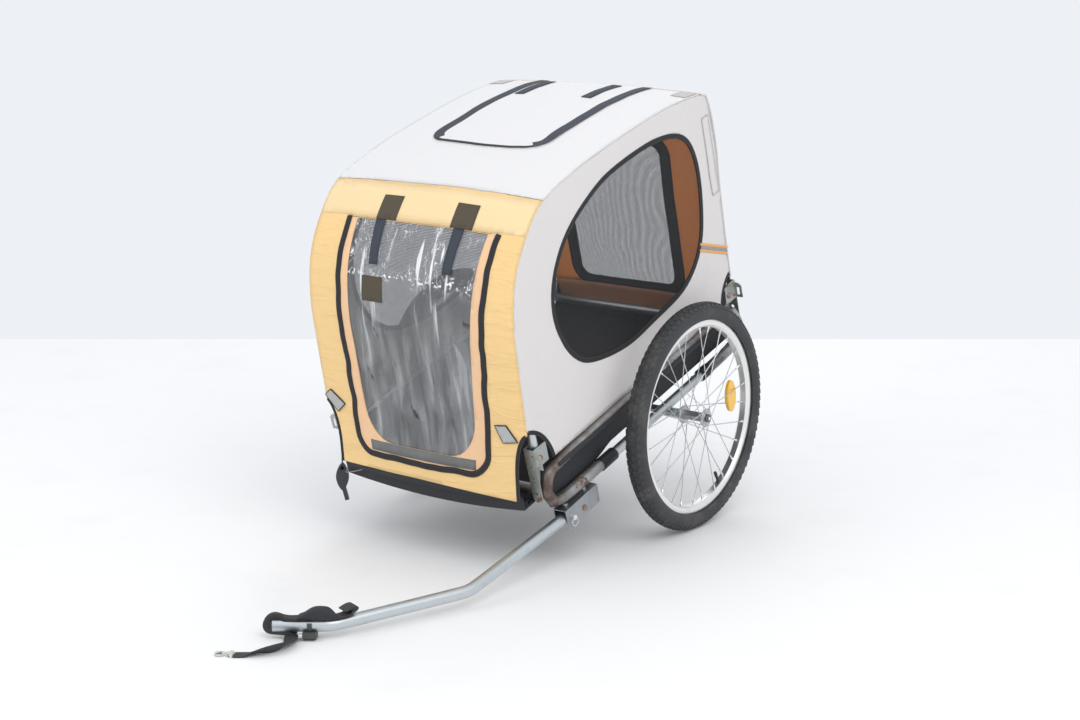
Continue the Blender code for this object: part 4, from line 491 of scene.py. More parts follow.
# The record's material slot of each material, where a piece names none of its own
SLOTS = {
    "galvanised_steel": (ZINC, HITCH_ZINC, TUBE, PATINA),
    "bright_plating": (DARK_STEEL, CHROME, RUSTY_BOLT, HUB_STEEL, SPOKE),
    "rim_alloy": (ALLOY,),
    "tyre_rubber": (RUBBER,),
    "black_plastic": (BLACK, GRIP, BLOCK),
    "milky_plastic": (MILKY,),
    "amber_lens": (AMBER,),
    "grey_cord": (GREY_CORD,),
    "pale_fabric": (PALE, ROOF, SEAM_TAPE),
    "yellow_fabric": (YELLOW, LIGHT_YELLOW, DOOR_YELLOW, SHADED_REAR_YELLOW, ORANGE_TAPE),
    "black_fabric": (BLACK_CLOTH, BINDING, WEBBING, STRAP, HOOK_TAPE),
    "netting": (NET, SIDE_NET, DOOR_NET, GREY_TAPE, DULL_TAPE, SILVER_TAB),
    "clear_sheet": (CLEAR_SHEET,),
}
SLOT_OF = {material.name: slot for slot, group in SLOTS.items() for material in group}


# Curves and frames
SIDES = (("left", 1), ("right", -1))


def smooth(points, steps=6, closed=False):
    """A smooth curve through the points, each span cut into steps."""
    points = [Vector(p) for p in points]
    count = len(points)
    curve = []
    for i in range(count if closed else count - 1):
        if closed:
            a, b, c, d = (points[(i + k) % count] for k in (-1, 0, 1, 2))
        else:
            b, c = points[i], points[i + 1]
            a = points[i - 1] if i else b * 2 - c
            d = points[i + 2] if i + 2 < count else c * 2 - b
        for k in range(steps):
            t = k / steps
            curve.append((b * 2 + (c - a) * t + (a * 2 - b * 5 + c * 4 - d) * t ** 2
                          + (b * 3 - a - c * 3 + d) * t ** 3) / 2)
    if not closed:
        curve.append(points[-1])
    return curve


def tangents(path):
    """The way along a path at each of its points."""
    ahead = [(q - p).normalized() for p, q in zip(path, path[1:])]
    inner = [(a + b).normalized() for a, b in zip(ahead, ahead[1:])]
    return [ahead[0]] + inner + [ahead[-1]]


def run_length(points):
    return sum((b - a).length for a, b in zip(points, points[1:]))


def frame_at(point, across, upright, along):
    """A matrix whose X, Y and Z axes are the three given directions."""
    turn = Matrix((across, upright, along)).transposed().to_4x4()
    return Matrix.Translation(point) @ turn


def aim(at, direction):
    """A frame at a point whose Z looks in a direction."""
    turn = Vector((0, 0, 1)).rotation_difference(Vector(direction))
    return Matrix.Translation(at) @ turn.to_matrix().to_4x4()


# Making pieces
WELD = 1e-5
DOUBLES = 2e-6
TOUCHING = 1e-6
DEGENERATE = 1e-7
FLAT_ANGLE = radians(1.0)
EDGE_WIDTH = 0.0005
EDGE_ANGLE = radians(35)


def new_mesh(name, bm):
    """A smooth mesh made of a bmesh."""
    mesh = bpy.data.meshes.new(name)
    bm.to_mesh(mesh)
    bm.free()
    mesh.shade_smooth()
    return mesh


def piece(name, data, material, body, nodes=(), slot=None):
    """An object in its material that rides on a CAD body and stands for its CAD nodes."""
    data.materials.append(material)
    thing = bpy.data.objects.new(name, data)
    bpy.context.collection.objects.link(thing)
    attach(thing, body)
    slot = slot or SLOT_OF[material.name]
    if nodes:
        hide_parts(*nodes)
    return thing


def finished(name, bm, material, body, nodes=(), chassis=True, angle=32, turn=None, slot=None):
    """A piece made of a bmesh that is drawn in the chassis frame, with sharp edges beyond an angle."""
    bmesh.ops.remove_doubles(bm, verts=bm.verts, dist=DOUBLES)
    if turn is not None:
        bmesh.ops.transform(bm, matrix=turn, verts=bm.verts)
    if chassis:
        bmesh.ops.transform(bm, matrix=CHASSIS, verts=bm.verts)
    bmesh.ops.recalc_face_normals(bm, faces=bm.faces)
    mesh = new_mesh(name, bm)
    mesh.set_sharp_from_angle(angle=radians(angle))
    return piece(name, mesh, material, body, nodes, slot)


def cad_shape(node):
    """A CAD node's own shape with its flat faces joined."""
    bm = bmesh.new()
    bm.from_mesh(frame["nodes"][node].data)
    bmesh.ops.remove_doubles(bm, verts=bm.verts, dist=WELD)
    bmesh.ops.dissolve_limit(bm, angle_limit=FLAT_ANGLE, verts=bm.verts, edges=bm.edges)
    return bm


def refined(node, material, body="chassis", levels=2, crease=38, slot=None):
    """A CAD node's own shape with its facets rounded out."""
    bm = cad_shape(node)
    layer = bm.edges.layers.float.new("crease_edge")
    for edge in bm.edges:
        if not edge.is_manifold or edge.calc_face_angle(0.0) > radians(crease):
            edge[layer] = 1.0
    thing = finished(node + "_dressed", bm, material, body, [node], chassis=False, slot=slot)
    modifier = thing.modifiers.new("rounding", "SUBSURF")
    modifier.levels = levels
    modifier.render_levels = levels
    return thing


def edged(node, material):
    """A CAD node's own shape, fixed to the chassis, with its edges broken."""
    thing = finished(node + "_dressed", cad_shape(node), material, "chassis", [node], chassis=False, angle=40)
    modifier = thing.modifiers.new("edges", "BEVEL")
    modifier.width = EDGE_WIDTH
    modifier.segments = 2
    modifier.limit_method = "ANGLE"
    modifier.angle_limit = EDGE_ANGLE


def spun(profile, steps, place):
    """A body of revolution. The profile is (radius, height) about the Z of its place."""
    bm = bmesh.new()
    verts = [bm.verts.new((r, 0, h)) for r, h in profile]
    edges = [bm.edges.new(pair) for pair in zip(verts, verts[1:])]
    if profile[0][0] > 0:
        edges.append(bm.edges.new((verts[-1], verts[0])))
    bmesh.ops.spin(bm, geom=verts + edges, cent=(0, 0, 0), axis=(0, 0, 1), angle=2 * pi, steps=steps,
                   use_merge=True)
    bmesh.ops.remove_doubles(bm, verts=bm.verts, dist=TOUCHING)
    bmesh.ops.dissolve_degenerate(bm, edges=bm.edges, dist=DEGENERATE)
    bmesh.ops.transform(bm, matrix=place, verts=bm.verts)
    return bm


def added(bm, other):
    """Put another bmesh's shapes into the first."""
    mesh = bpy.data.meshes.new("share")
    other.to_mesh(mesh)
    other.free()
    bm.from_mesh(mesh)
    bpy.data.meshes.remove(mesh)


def swept(section, frames, closed=False):
    """An outline carried through a row of frames, with its UV map."""
    bm = bmesh.new()
    ring = [bm.verts.new(frames[0] @ Vector((*p, 0))) for p in section]
    edges = [bm.edges.new((ring[k - 1], ring[k])) for k in range(len(ring))]
    first = list(edges)
    last_frame = frames[0]
    for following in frames[1:] + (frames[:1] if closed else []):
        made = bmesh.ops.extrude_edge_only(bm, edges=edges)
        verts = [g for g in made["geom"] if isinstance(g, bmesh.types.BMVert)]
        edges = [g for g in made["geom"] if isinstance(g, bmesh.types.BMEdge)
                 and g.verts[0] in verts and g.verts[1] in verts]
        bmesh.ops.transform(bm, matrix=following @ last_frame.inverted(), verts=verts)
        last_frame = following
    if closed:
        bmesh.ops.remove_doubles(bm, verts=bm.verts, dist=TOUCHING)
    else:
        bmesh.ops.contextual_create(bm, geom=first)
        bmesh.ops.contextual_create(bm, geom=edges)
    strip_uv(bm, frames)
    return bm


def strip_uv(bm, frames):
    """Lay the UV map of a swept strip: length along its frames and the way across, in metres."""
    layer = bm.loops.layers.uv.new("cloth")
    lengths = [0.0]
    for a, b in zip(frames, frames[1:]):
        lengths.append(lengths[-1] + (b.translation - a.translation).length)
    inverses = [f.inverted() for f in frames]
    for face in bm.faces:
        middle = face.calc_center_median()
        k = min(range(len(frames)), key=lambda i: (frames[i].translation - middle).length)
        for loop in face.loops:
            local = inverses[k] @ loop.vert.co
            loop[layer].uv = (lengths[k] + local.z, local.x)


def soft(thing):
    """A cabin piece given its own copy of its mesh."""
    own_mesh(thing)


# Cords
TETHER_RADIUS = 0.0015
LANYARD_RADIUS = 0.0008
TETHER_POINTS = [(0.02941, -0.256, 0.18857), (0.03227, -0.256, 0.18768), (0.03514, -0.256, 0.18529),
                 (0.03657, -0.256, 0.18034), (0.03686, -0.256, 0.17475), (0.03686, -0.256, 0.16915),
                 (0.03686, -0.256, 0.16355), (0.03686, -0.256, 0.15796), (0.03686, -0.256, 0.15236)]
LANYARD_POINTS = [(0.4772, -0.2466, 0.0397), (0.4946, -0.2365, 0.0412), (0.4976, -0.2140, 0.0480),
                  (0.4966, -0.1880, 0.0570), (0.4931, -0.1680, 0.0640), (0.4916, -0.1650, 0.0640)]


def cord_curve(name, points, radius, material, node):
    """A round cord through points of the row frame."""
    curve = bpy.data.curves.new(name, "CURVE")
    curve.dimensions = "3D"
    curve.bevel_depth = radius
    curve.bevel_resolution = 4
    curve.use_fill_caps = True
    spline = curve.splines.new("POLY")
    spline.points.add(len(points) - 1)
    for point, place in zip(spline.points, points):
        point.co = (*place, 1.0)
    return piece(name, curve, material, "chassis", [node])


def dress_cords():
    """The tether with its pin handle, and the thin cord that keeps the handle."""
    start = [Vector(p) for p in TETHER_POINTS]
    line = cord_curve("tether_cord_dressed", start, TETHER_RADIUS, BLACK, "tether_cord")
    refined("tether_pin", GRIP, crease=40)
    thin_run = [CHASSIS @ p for p in smooth(LANYARD_POINTS, 4)]
    thin = cord_curve("lanyard_dressed", thin_run, LANYARD_RADIUS, GREY_CORD, "lanyard")
    run_length(start)
    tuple(thin_run[-1])
    run_length(thin_run)


# Faces of the cabin
CABIN_Y = 0.2625
CABIN_CENTRE = (0.080, 0.280)
CROWN = 0.014
REAR_CROWN = 0.006
CROWN_FADE = 0.12
FRONT_WRINKLE = 0.0022
TOP_WRINKLE = 0.0018
SIDE_WRINKLE = 0.0022
NET_SINK = 0.0030
FRONT_PROFILE = [(0.498, 0.066), (0.474, 0.190), (0.460, 0.320), (0.4465, 0.425), (0.415, 0.513),
                 (0.358, 0.580)]
SEAM_PROFILE = (0.287, 0.625)
ROOF_PROFILE = [(0.160, 0.640), (0.012, 0.641), (-0.150, 0.634)]
ROOF_END_PROFILE = (-0.285, 0.613)
REAR_PROFILE = [(-0.313, 0.585), (-0.3185, 0.490), (-0.308, 0.383), (-0.300, 0.250), (-0.2955, 0.120)]
PROFILE_STEPS = 10
APRON_X = -0.2930
APRON_TOP_Z = 0.121
APRON_LOW_Z = 0.062
TUB_SIDE_Y = 0.2476


def profile_curve():
    """The cabin's outline as a fine curve, with where the roof and the rear begin."""
    front = FRONT_PROFILE + [SEAM_PROFILE]
    roof = ROOF_PROFILE + [ROOF_END_PROFILE]
    curve = smooth([Vector((x, 0, z)) for x, z in front + roof + REAR_PROFILE], PROFILE_STEPS)
    seam = (len(front) - 1) * PROFILE_STEPS
    return curve, seam, seam + len(roof) * PROFILE_STEPS


CURVE, SEAM, BACK = profile_curve()
FRONT_LINE = [(p.z, p.x) for p in CURVE[:SEAM + 1]]
ROOF_LINE = [(p.x, p.z) for p in CURVE[SEAM:BACK + 1]][::-1]
REAR_LINE = [(p.z, p.x) for p in CURVE[BACK:]][::-1]


def read_off(line, at):
    """The value and the slope of a line of (key, value) pairs with rising keys."""
    for (k0, v0), (k1, v1) in zip(line, line[1:]):
        if at <= k1 or (k1, v1) == line[-1]:
            slope = (v1 - v0) / (k1 - k0)
            return v0 + slope * (at - k0), slope


def ripple(point, amount, scale=9.0):
    """A smooth wrinkle height at a place, between plus and minus the amount."""
    return amount * (noise.noise(point * scale) + 0.5 * noise.noise(point * scale * 2.3 + Vector((7, 3, 1))))


def crowned(point):
    """A point of the cabin's outline, bulged out between the two sides."""
    share = max(0.0, 1 - (point.y / CABIN_Y) ** 2)
    fade = max(0.0, min(1.0, (point.x - REAR_PROFILE[0][0]) / CROWN_FADE))
    away = Vector((point.x - CABIN_CENTRE[0], 0, point.z - CABIN_CENTRE[1]))
    return point + away.normalized() * (share * (REAR_CROWN + (CROWN - REAR_CROWN) * fade))


def raised(point, way, wrinkle, lift):
    """A place on a face with its crown, wrinkles and lift, and the way out of the face."""
    out = Vector(way).normalized()
    point = crowned(Vector(point))
    wave = ripple(point, wrinkle) * max(0.0, 1 - (point.y / CABIN_Y) ** 4)
    return point + out * (lift + wave), out


def on_front(flat, lift=0.0):
    """The place of (y, z) on the front sheet, and the way out of it."""
    x, slope = read_off(FRONT_LINE, flat[1])
    return raised((x, *flat), (1, 0, -slope), FRONT_WRINKLE, lift)


def sunk_front(flat, lift=0.0):
    """A place just under the front sheet."""
    return on_front(flat, lift - NET_SINK)


def crinkled(flat, lift=0.0):
    """A place on the clear sheet's creased surface."""
    point, out = on_front(flat, lift)
    spot = Vector((flat[0], flat[1] * 0.6, 3.7))
    fold = abs(noise.noise(spot * 14)) * 0.0030 + noise.noise(spot * 31) * 0.0007
    return point - out * (0.0022 - fold), out


def on_piping(flat, lift=0.0):
    """A place on the door's piping, pulled aside by its puckered seam."""
    y, z = flat
    aside = noise.noise(Vector((y * 4, z * 30, 1.9))) * 0.0040
    sag = noise.noise(Vector((y * 30, z * 4, 6.1))) * 0.0018
    return on_front((y + aside, z + sag), lift)


def on_roof(flat, lift=0.0):
    """The place of (x, y) on the roof sheet, and the way out of it."""
    z, slope = read_off(ROOF_LINE, flat[0])
    return raised((*flat, z), (-slope, 0, 1), TOP_WRINKLE, lift)


def on_rear(flat, lift=0.0):
    """The place of (y, z) on the rear sheet, and the way out of it."""
    x, slope = read_off(REAR_LINE, flat[1])
    return raised((x, *flat), (-1, 0, slope), TOP_WRINKLE, lift)


def on_side(side):
    """The places of (x, z) on a side sheet."""
    def place(flat, lift=0.0):
        x, z = flat
        wave = ripple(Vector((x, side, z)), SIDE_WRINKLE, scale=7.0)
        return Vector((x, side * (CABIN_Y + lift - 0.0006) + side * wave, z)), Vector((0, side, 0))
    return place


def on_tub_side(side):
    """The places of (x, z) on the plane of the tub's side wall."""
    def place(flat, lift=0.0):
        return Vector((flat[0], side * (TUB_SIDE_Y + lift), flat[1])), Vector((0, side, 0))
    return place


def on_apron(flat, lift=0.0):
    """The place of (y, z) on the inner apron, which hangs from the rear panel's hem inside the tub."""
    y, z = flat
    out = Vector((1, 0, 0))
    x = APRON_X - (APRON_TOP_Z - z) * 0.10
    return Vector((x, y, z)) + out * (lift + ripple(Vector((0, y, z)), 0.001)), out


# Outlines
def dense(outline, step=0.008):
    """A closed outline with more points along its straight runs."""
    points = []
    for (a0, b0), (a1, b1) in zip(outline, outline[1:] + outline[:1]):
        count = max(1, int(sqrt((a1 - a0) ** 2 + (b1 - b0) ** 2) / step))
        points += [(a0 + (a1 - a0) * k / count, b0 + (b1 - b0) * k / count) for k in range(count)]
    return points


def rectangle(low, high):
    return [(low[0], low[1]), (high[0], low[1]), (high[0], high[1]), (low[0], high[1])]


def rounded_rect(low, high, corner, steps=6, top_corner=None):
    """Outline of an upright rectangle with round corners. The top corners may have their own radius."""
    (x0, z0), (x1, z1) = low, high
    top = corner if top_corner is None else top_corner
    centres = [(x1 - top, z1 - top, top, 0), (x0 + top, z1 - top, top, 1),
               (x0 + corner, z0 + corner, corner, 2), (x1 - corner, z0 + corner, corner, 3)]
    outline = []
    for cx, cz, radius, quarter in centres:
        for k in range(steps + 1):
            angle = (quarter + k / steps) * pi / 2
            outline.append((cx + radius * cos(angle), cz + radius * sin(angle)))
    return outline


def tapered(outline, low_z, high_z, low_half, high_half):
    """Scale an outline's half width from its value at the bottom to its value at the top."""
    widest = max(abs(y) for y, _ in outline)
    slope = (high_half - low_half) / (high_z - low_z)
    return [(y / widest * (low_half + slope * (z - low_z)), z) for y, z in outline]


def grown(outline, by):
    """Move each point of a closed outline outwards by a distance."""
    points = [Vector((p[0], p[1])) for p in outline]
    area = sum(a.x * b.y - b.x * a.y for a, b in zip(points, points[1:] + points[:1]))
    turn = 1 if area > 0 else -1
    moved = []
    for before, point, after in zip(points[-1:] + points[:-1], points, points[1:] + points[:1]):
        way = ((point - before).normalized() + (after - point).normalized()).normalized()
        moved.append((point.x + way.y * turn * by, point.y - way.x * turn * by))
    return moved


# Sheets and tapes
SHEET_WALL = 0.0014
GRID = 0.012
TAPE_STEP = 0.006


def filled(outline, holes, grid):
    """A flat sheet inside an outline with holes, cut into a fine grid, with its UV map in metres."""
    bm = bmesh.new()
    for loop in (outline, *holes):
        verts = [bm.verts.new((a, b, 0)) for a, b in loop]
        for k in range(len(verts)):
            bm.edges.new((verts[k - 1], verts[k]))
    bmesh.ops.triangle_fill(bm, use_beauty=True, edges=bm.edges[:])
    for axis in (0, 1):
        low = min(p[axis] for p in outline)
        high = max(p[axis] for p in outline)
        count = int((high - low) / grid)
        normal = (1, 0, 0) if axis == 0 else (0, 1, 0)
        for k in range(1, count + 1):
            at = low + (high - low) * k / (count + 1)
            cut = (at, 0, 0) if axis == 0 else (0, at, 0)
            geom = bm.verts[:] + bm.edges[:] + bm.faces[:]
            bmesh.ops.bisect_plane(bm, geom=geom, dist=TOUCHING, plane_co=cut, plane_no=normal)
    layer = bm.loops.layers.uv.new("cloth")
    for face in bm.faces:
        for loop in face.loops:
            loop[layer].uv = loop.vert.co.xy
    return bm


def outward(bm, way):
    """Turn an open sheet's faces to the side that the way points to."""
    bmesh.ops.recalc_face_normals(bm, faces=bm.faces)
    total = sum((f.normal * f.calc_area() for f in bm.faces), Vector())
    if total.dot(way) < 0:
        bmesh.ops.reverse_faces(bm, faces=bm.faces)


def sheet(name, outline, place, material, rests_on, body="chassis", holes=(), nodes=(), wall=SHEET_WALL,
          lift=0.0, held="stretched", size=None, grid=GRID):
    """A sewn sheet on one of the cabin's faces; the width, length and area of its flat cut are worked out."""
    bm = filled(outline, holes, grid)
    for vert in bm.verts:
        vert.co = place(tuple(vert.co.xy), lift)[0]
    bmesh.ops.transform(bm, matrix=CHASSIS, verts=bm.verts)
    outward(bm, CHASSIS.to_3x3() @ place(outline[0], lift)[1])
    thing = piece(name, new_mesh(name, bm), material, body, nodes)
    if wall:
        modifier = thing.modifiers.new("wall", "SOLIDIFY")
        modifier.thickness = wall
        modifier.offset = -1
    soft(thing)
    spans = [max(p[axis] for p in outline) - min(p[axis] for p in outline) for axis in (0, 1)]
    width, height = size or spans
    cut = sum(face.area for face in thing.data.polygons)
    height = max(height, cut / width * 1.002)
    list(rests_on)


def patch(name, corners, place, material, rests_on=("front_panel_dressed",), body="chassis", wall=0.0008,
          lift=0.0012, held="laid"):
    """A small sewn-on piece of cloth, cut to a four-sided outline."""
    first, second, third = (Vector(corner) for corner in corners[:3])
    size = ((second - first).length, (third - second).length)
    sheet(name, dense(corners, 0.006), place, material, rests_on, body, wall=wall, lift=lift, held=held,
          size=size)


def tape(name, route, place, material, body="chassis", half=0.005, rise=0.0010, sink=0.0020, closed=False,
         lift=0.0):
    """A tape with a slightly rounded top along a route on one of the cabin's faces."""
    points = [Vector((p[0], p[1], 0)) for p in route]
    if closed:
        points.append(points[0])
    fine = [points[0]]
    for a, b in zip(points, points[1:]):
        count = max(1, int((b - a).length / TAPE_STEP))
        fine += [a.lerp(b, k / count) for k in range(1, count + 1)]
    spots = [place((p.x, p.y), lift) for p in fine]
    ways = tangents([spot for spot, _ in spots])
    if closed:
        ways[0] = ways[-1] = (ways[0] + ways[-1]).normalized()
    frames = []
    for (spot, out), way in zip(spots, ways):
        across = out.cross(way).normalized()
        frames.append(frame_at(spot, across, way.cross(across), way))
    if closed:
        frames = frames[:-1]
    section = [(-half, -sink), (half, -sink), (half, rise * 0.45), (half * 0.72, rise), (-half * 0.72, rise),
               (-half, rise * 0.45)]
    soft(finished(name, swept(section, frames, closed), material, body, angle=50))


# Wheels
WHEEL_Y = 0.324
RIM_RADIUS = 0.2105
RIM_INNER = 0.1925
RIM_HALF = 0.012
RIM_WALL = 0.0015
RIM_WELL = 0.0073
TYRE_SECTION = 0.0225
TREAD_DEPTH = 0.0013
TREAD_ROWS = ((-0.0155, 24), (-0.0055, -18), (0.0055, 18), (0.0155, -24))
TREAD_BLOCKS = 88
BLOCK_SIZE = (0.0030, 0.0142, 0.0088)
BLOCK_TAPER = (1, 0.88, 0.86)
SPOKES = 28
SPOKE_CROSSES = 3
SPOKE_RADIUS = 0.0010
FLANGE_IN_Y = 0.295
FLANGE_OUT_Y = 0.350
FLANGE_WIDTH = 0.003
FLANGE_RADIUS = 0.020
SPOKE_HOLE_RADIUS = 0.0165
HUB_BORE = 0.0063
HUB_BARREL = 0.0100
HUB_SHOULDER = 0.0110
HUB_NECK = 0.0130
HUB_FACE_Y = FLANGE_OUT_Y + FLANGE_WIDTH
HUB_IN_Y = 0.2802
VALVE_ANGLE = radians(-102.7)
VALVE_STEM = [(0, 0), (0.0040, 0), (0.0040, 0.006), (0.0031, 0.0085), (0.0031, 0.019), (0.0037, 0.0195),
              (0.0037, 0.029), (0.0030, 0.0315), (0, 0.032)]
SPOKE_HEAD = [(0, -0.0027), (0.0019, -0.0023), (0.0021, 0), (0.0019, 0.0023), (0, 0.0027)]


def wheel_place(side):
    return aim((0, side * WHEEL_Y, 0), (0, 1, 0))


def dress_tyre(name, side):
    """Round tyre with four rows of slanted tread blocks."""
    centre = TYRE_RADIUS - TYRE_SECTION
    core = TYRE_SECTION - TREAD_DEPTH
    turns = [radians(132) * k / 9 for k in range(-9, 10)]
    bead = RIM_HALF - 0.0018
    profile = [(RIM_RADIUS - 0.006, -bead), (RIM_RADIUS + 0.001, -bead)]
    profile += [(centre + core * cos(a), core * sin(a)) for a in turns]
    profile += [(RIM_RADIUS + 0.001, bead), (RIM_RADIUS - 0.006, bead)]
    bm = spun(profile, steps=96, place=Matrix.Identity(4))
    for row, (away, slant) in enumerate(TREAD_ROWS):
        lean = atan2(away, sqrt(TYRE_SECTION ** 2 - away ** 2))
        for k in range(TREAD_BLOCKS):
            angle = 2 * pi * (k + (row % 2) / 2) / TREAD_BLOCKS
            block = bmesh.new()
            bmesh.ops.create_cube(block, size=1.0)
            bmesh.ops.scale(block, vec=BLOCK_SIZE, verts=block.verts)
            top = [v for v in block.verts if v.co.x > 0]
            bmesh.ops.scale(block, vec=BLOCK_TAPER, verts=top)
            turn = (Matrix.Rotation(angle, 4, "Z") @ Matrix.Translation((centre, 0, 0))
                    @ Matrix.Rotation(-lean, 4, "Y") @ Matrix.Translation((TYRE_SECTION - 0.0017, 0, 0))
                    @ Matrix.Rotation(radians(slant), 4, "X"))
            bmesh.ops.transform(block, matrix=turn, verts=block.verts)
            added(bm, block)
    finished(name + "_tyre_dressed", bm, RUBBER, name + "_wheel", [name + "_tyre"], turn=wheel_place(side))


def dress_rim(name, side):
    """Box-section rim with a flat brake track and the tyre valve."""
    half = RIM_HALF
    shoulder = RIM_RADIUS - 0.0126
    outer = [(RIM_INNER, half * 0.55), (RIM_INNER + 0.0015, half * 0.68), (shoulder - 0.001, half * 0.94),
             (shoulder + 0.001, half), (RIM_RADIUS - 0.001, half), (RIM_RADIUS, half - 0.0004),
             (RIM_RADIUS, half - RIM_WALL), (RIM_RADIUS - RIM_WELL, half - RIM_WALL)]
    profile = outer + [(r, -h) for r, h in outer[::-1]]
    bm = spun(profile, 128, wheel_place(side))
    finished(name + "_rim_dressed", bm, ALLOY, name + "_wheel", [name + "_rim"], angle=25)
    out = Vector((cos(VALVE_ANGLE), 0, sin(VALVE_ANGLE)))
    foot = Vector((0, side * WHEEL_Y, 0)) + out * (RIM_INNER + 0.003)
    finished(name + "_valve", spun(VALVE_STEM, 20, aim(foot, -out)), BLACK, name + "_wheel")


def spoke_ends(side):
    """The inner and outer end of each spoke, half of them from each flange."""
    per_flange = SPOKES // 2
    for k in range(SPOKES):
        outer = k % 2 == 0
        leading = k % 4 < 2
        rim_angle = 2 * pi * (k + 0.5) / SPOKES
        lacing = 2 * pi * SPOKE_CROSSES / per_flange * (1 if leading else -1)
        hub_y = (FLANGE_OUT_Y if outer else FLANGE_IN_Y) + FLANGE_WIDTH * (0.3 if leading else -0.3)
        rim_y = WHEEL_Y + (0.002 if outer else -0.002)
        inner = Vector((SPOKE_HOLE_RADIUS * cos(rim_angle + lacing), side * hub_y,
                        SPOKE_HOLE_RADIUS * sin(rim_angle + lacing)))
        yield inner, Vector((RIM_INNER * cos(rim_angle), side * rim_y, RIM_INNER * sin(rim_angle)))


def dress_hub(name, side):
    """Turned hub shell with its end cup, and round spokes with their nipples."""
    half = FLANGE_WIDTH / 2
    rim = FLANGE_RADIUS - 0.0008
    profile = [(HUB_BORE, HUB_IN_Y), (0.0085, HUB_IN_Y), (0.0085, HUB_IN_Y + 0.005),
               (HUB_NECK, HUB_IN_Y + 0.006)]
    flanges = ((FLANGE_IN_Y, HUB_NECK, HUB_SHOULDER), (FLANGE_OUT_Y, HUB_SHOULDER, HUB_NECK))
    for middle, inner, outer in flanges:
        profile += [(inner, middle - half), (rim, middle - half), (FLANGE_RADIUS, middle - half / 2),
                    (FLANGE_RADIUS, middle + half / 2), (rim, middle + half), (outer, middle + half)]
        if middle == FLANGE_IN_Y:
            profile += [(HUB_BARREL, middle + 4 * half), (HUB_BARREL, FLANGE_OUT_Y - 4 * half)]
    profile += [(HUB_NECK, HUB_FACE_Y - 0.0004), (0.0126, HUB_FACE_Y), (HUB_BORE, HUB_FACE_Y)]
    bm = spun(profile, 48, aim((0, 0, 0), (0, side, 0)))
    finished(name + "_hub_shell", bm, HUB_STEEL, name + "_wheel", [name + "_hub"], angle=30)
    wires = bmesh.new()
    nipples = bmesh.new()
    for inner, outer in spoke_ends(side):
        way = outer - inner
        run = way.length
        wire = [(0, 0), (SPOKE_RADIUS, 0), (SPOKE_RADIUS, run - 0.003), (0, run - 0.003)]
        added(wires, spun(wire, 6, aim(inner, way)))
        nipple = [(0, run - 0.014), (0.0016, run - 0.0135), (0.0019, run - 0.004), (0.0024, run - 0.003),
                  (0.0024, run), (0, run)]
        added(nipples, spun(nipple, 8, aim(inner, way)))
        added(wires, spun(SPOKE_HEAD, 8, aim(inner, (0, 1, 0))))
    finished(name + "_spokes", wires, SPOKE, name + "_wheel")
    finished(name + "_nipples", nipples, CHROME, name + "_wheel")


def dress_wheels():
    """The wheels with their quick-release axles, push buttons and reflectors."""
    for name, side in SIDES:
        dress_tyre(name, side)
        dress_rim(name, side)
        dress_hub(name, side)
        refined(name + "_axle_pin", DARK_STEEL, name + "_axle", crease=40)
        refined(name + "_push_button", CHROME, name + "_button", crease=40)
        refined(name + "_reflector", AMBER, name + "_wheel", crease=30)


# Frame
def dress_frame():
    """The rails, tubes, brackets, hoops and bolts of the frame."""
    for name, _ in SIDES:
        refined(name + "_side_frame", PATINA)
        refined(name + "_middle_tube", TUBE)
        for end in ("_front", "_rear"):
            refined(name + end + "_ferrule", BLACK)
            edged(name + end + "_bracket", ZINC)
            refined(name + end + "_pivot_bolt", RUSTY_BOLT)
    refined("axle_tube", TUBE, slot="dark_steel")
    refined("front_crossbar", TUBE)
    refined("rear_crossbar", TUBE)
    refined("front_hoop", TUBE, "front_hoop", slot="light_tube")
    refined("rear_hoop", TUBE, "rear_hoop", slot="light_tube")
    edged("hitch_bracket", HITCH_ZINC)
    refined("arm_pivot_bolt", RUSTY_BOLT)
    refined("arm_lock_pin", CHROME, "arm_lock_pin")


# Front of the cabin
FRONT_TOP_Z = 0.6245
FRONT_HEM_Z = 0.0665
HEM_LIFT = 0.014
BRACKET_IN_Y = 0.2373
RELIEF_IN_Y = BRACKET_IN_Y - 0.0065
RELIEF_EDGE_Y = CABIN_Y + 0.004
HEADER_HALF = 0.2605
DOOR_HALF_TOP = 0.190
DOOR_HALF_LOW = 0.170
DOOR_TOP_Z = 0.5780
DOOR_LOW_Z = 0.112
PANE_HALF_TOP = 0.166
PANE_HALF_LOW = 0.140
PANE_TOP_Z = 0.5765
PANE_LOW_Z = 0.142
DOOR_LEAN_TOP = 0.013
DOOR_LEAN_LOW = -0.007
HOOK_PATCH_Z = (0.5775, 0.610)
STRAP_LOW_Z = 0.508
TABS = (("right", [(-0.243, 0.229), (-0.205, 0.204), (-0.228, 0.183), (-0.2615, 0.214)]),
        ("left", [(0.191, 0.221), (0.218, 0.223), (0.241, 0.190), (0.207, 0.186)]))


def relief_corner(spring, high, floor):
    """The cut-away lower corner of an end panel, from its hem up to the cabin's side."""
    width = RELIEF_EDGE_Y - RELIEF_IN_Y
    points = [(RELIEF_IN_Y, floor)]
    for k in range(17):
        angle = pi / 2 * k / 16
        y = RELIEF_EDGE_Y - width * cos(angle)
        if y >= CABIN_Y:
            break
        points.append((y, spring + (high - spring) * sin(angle)))
    last = acos((RELIEF_EDGE_Y - CABIN_Y) / width)
    points.append((CABIN_Y, spring + (high - spring) * sin(last)))
    return points


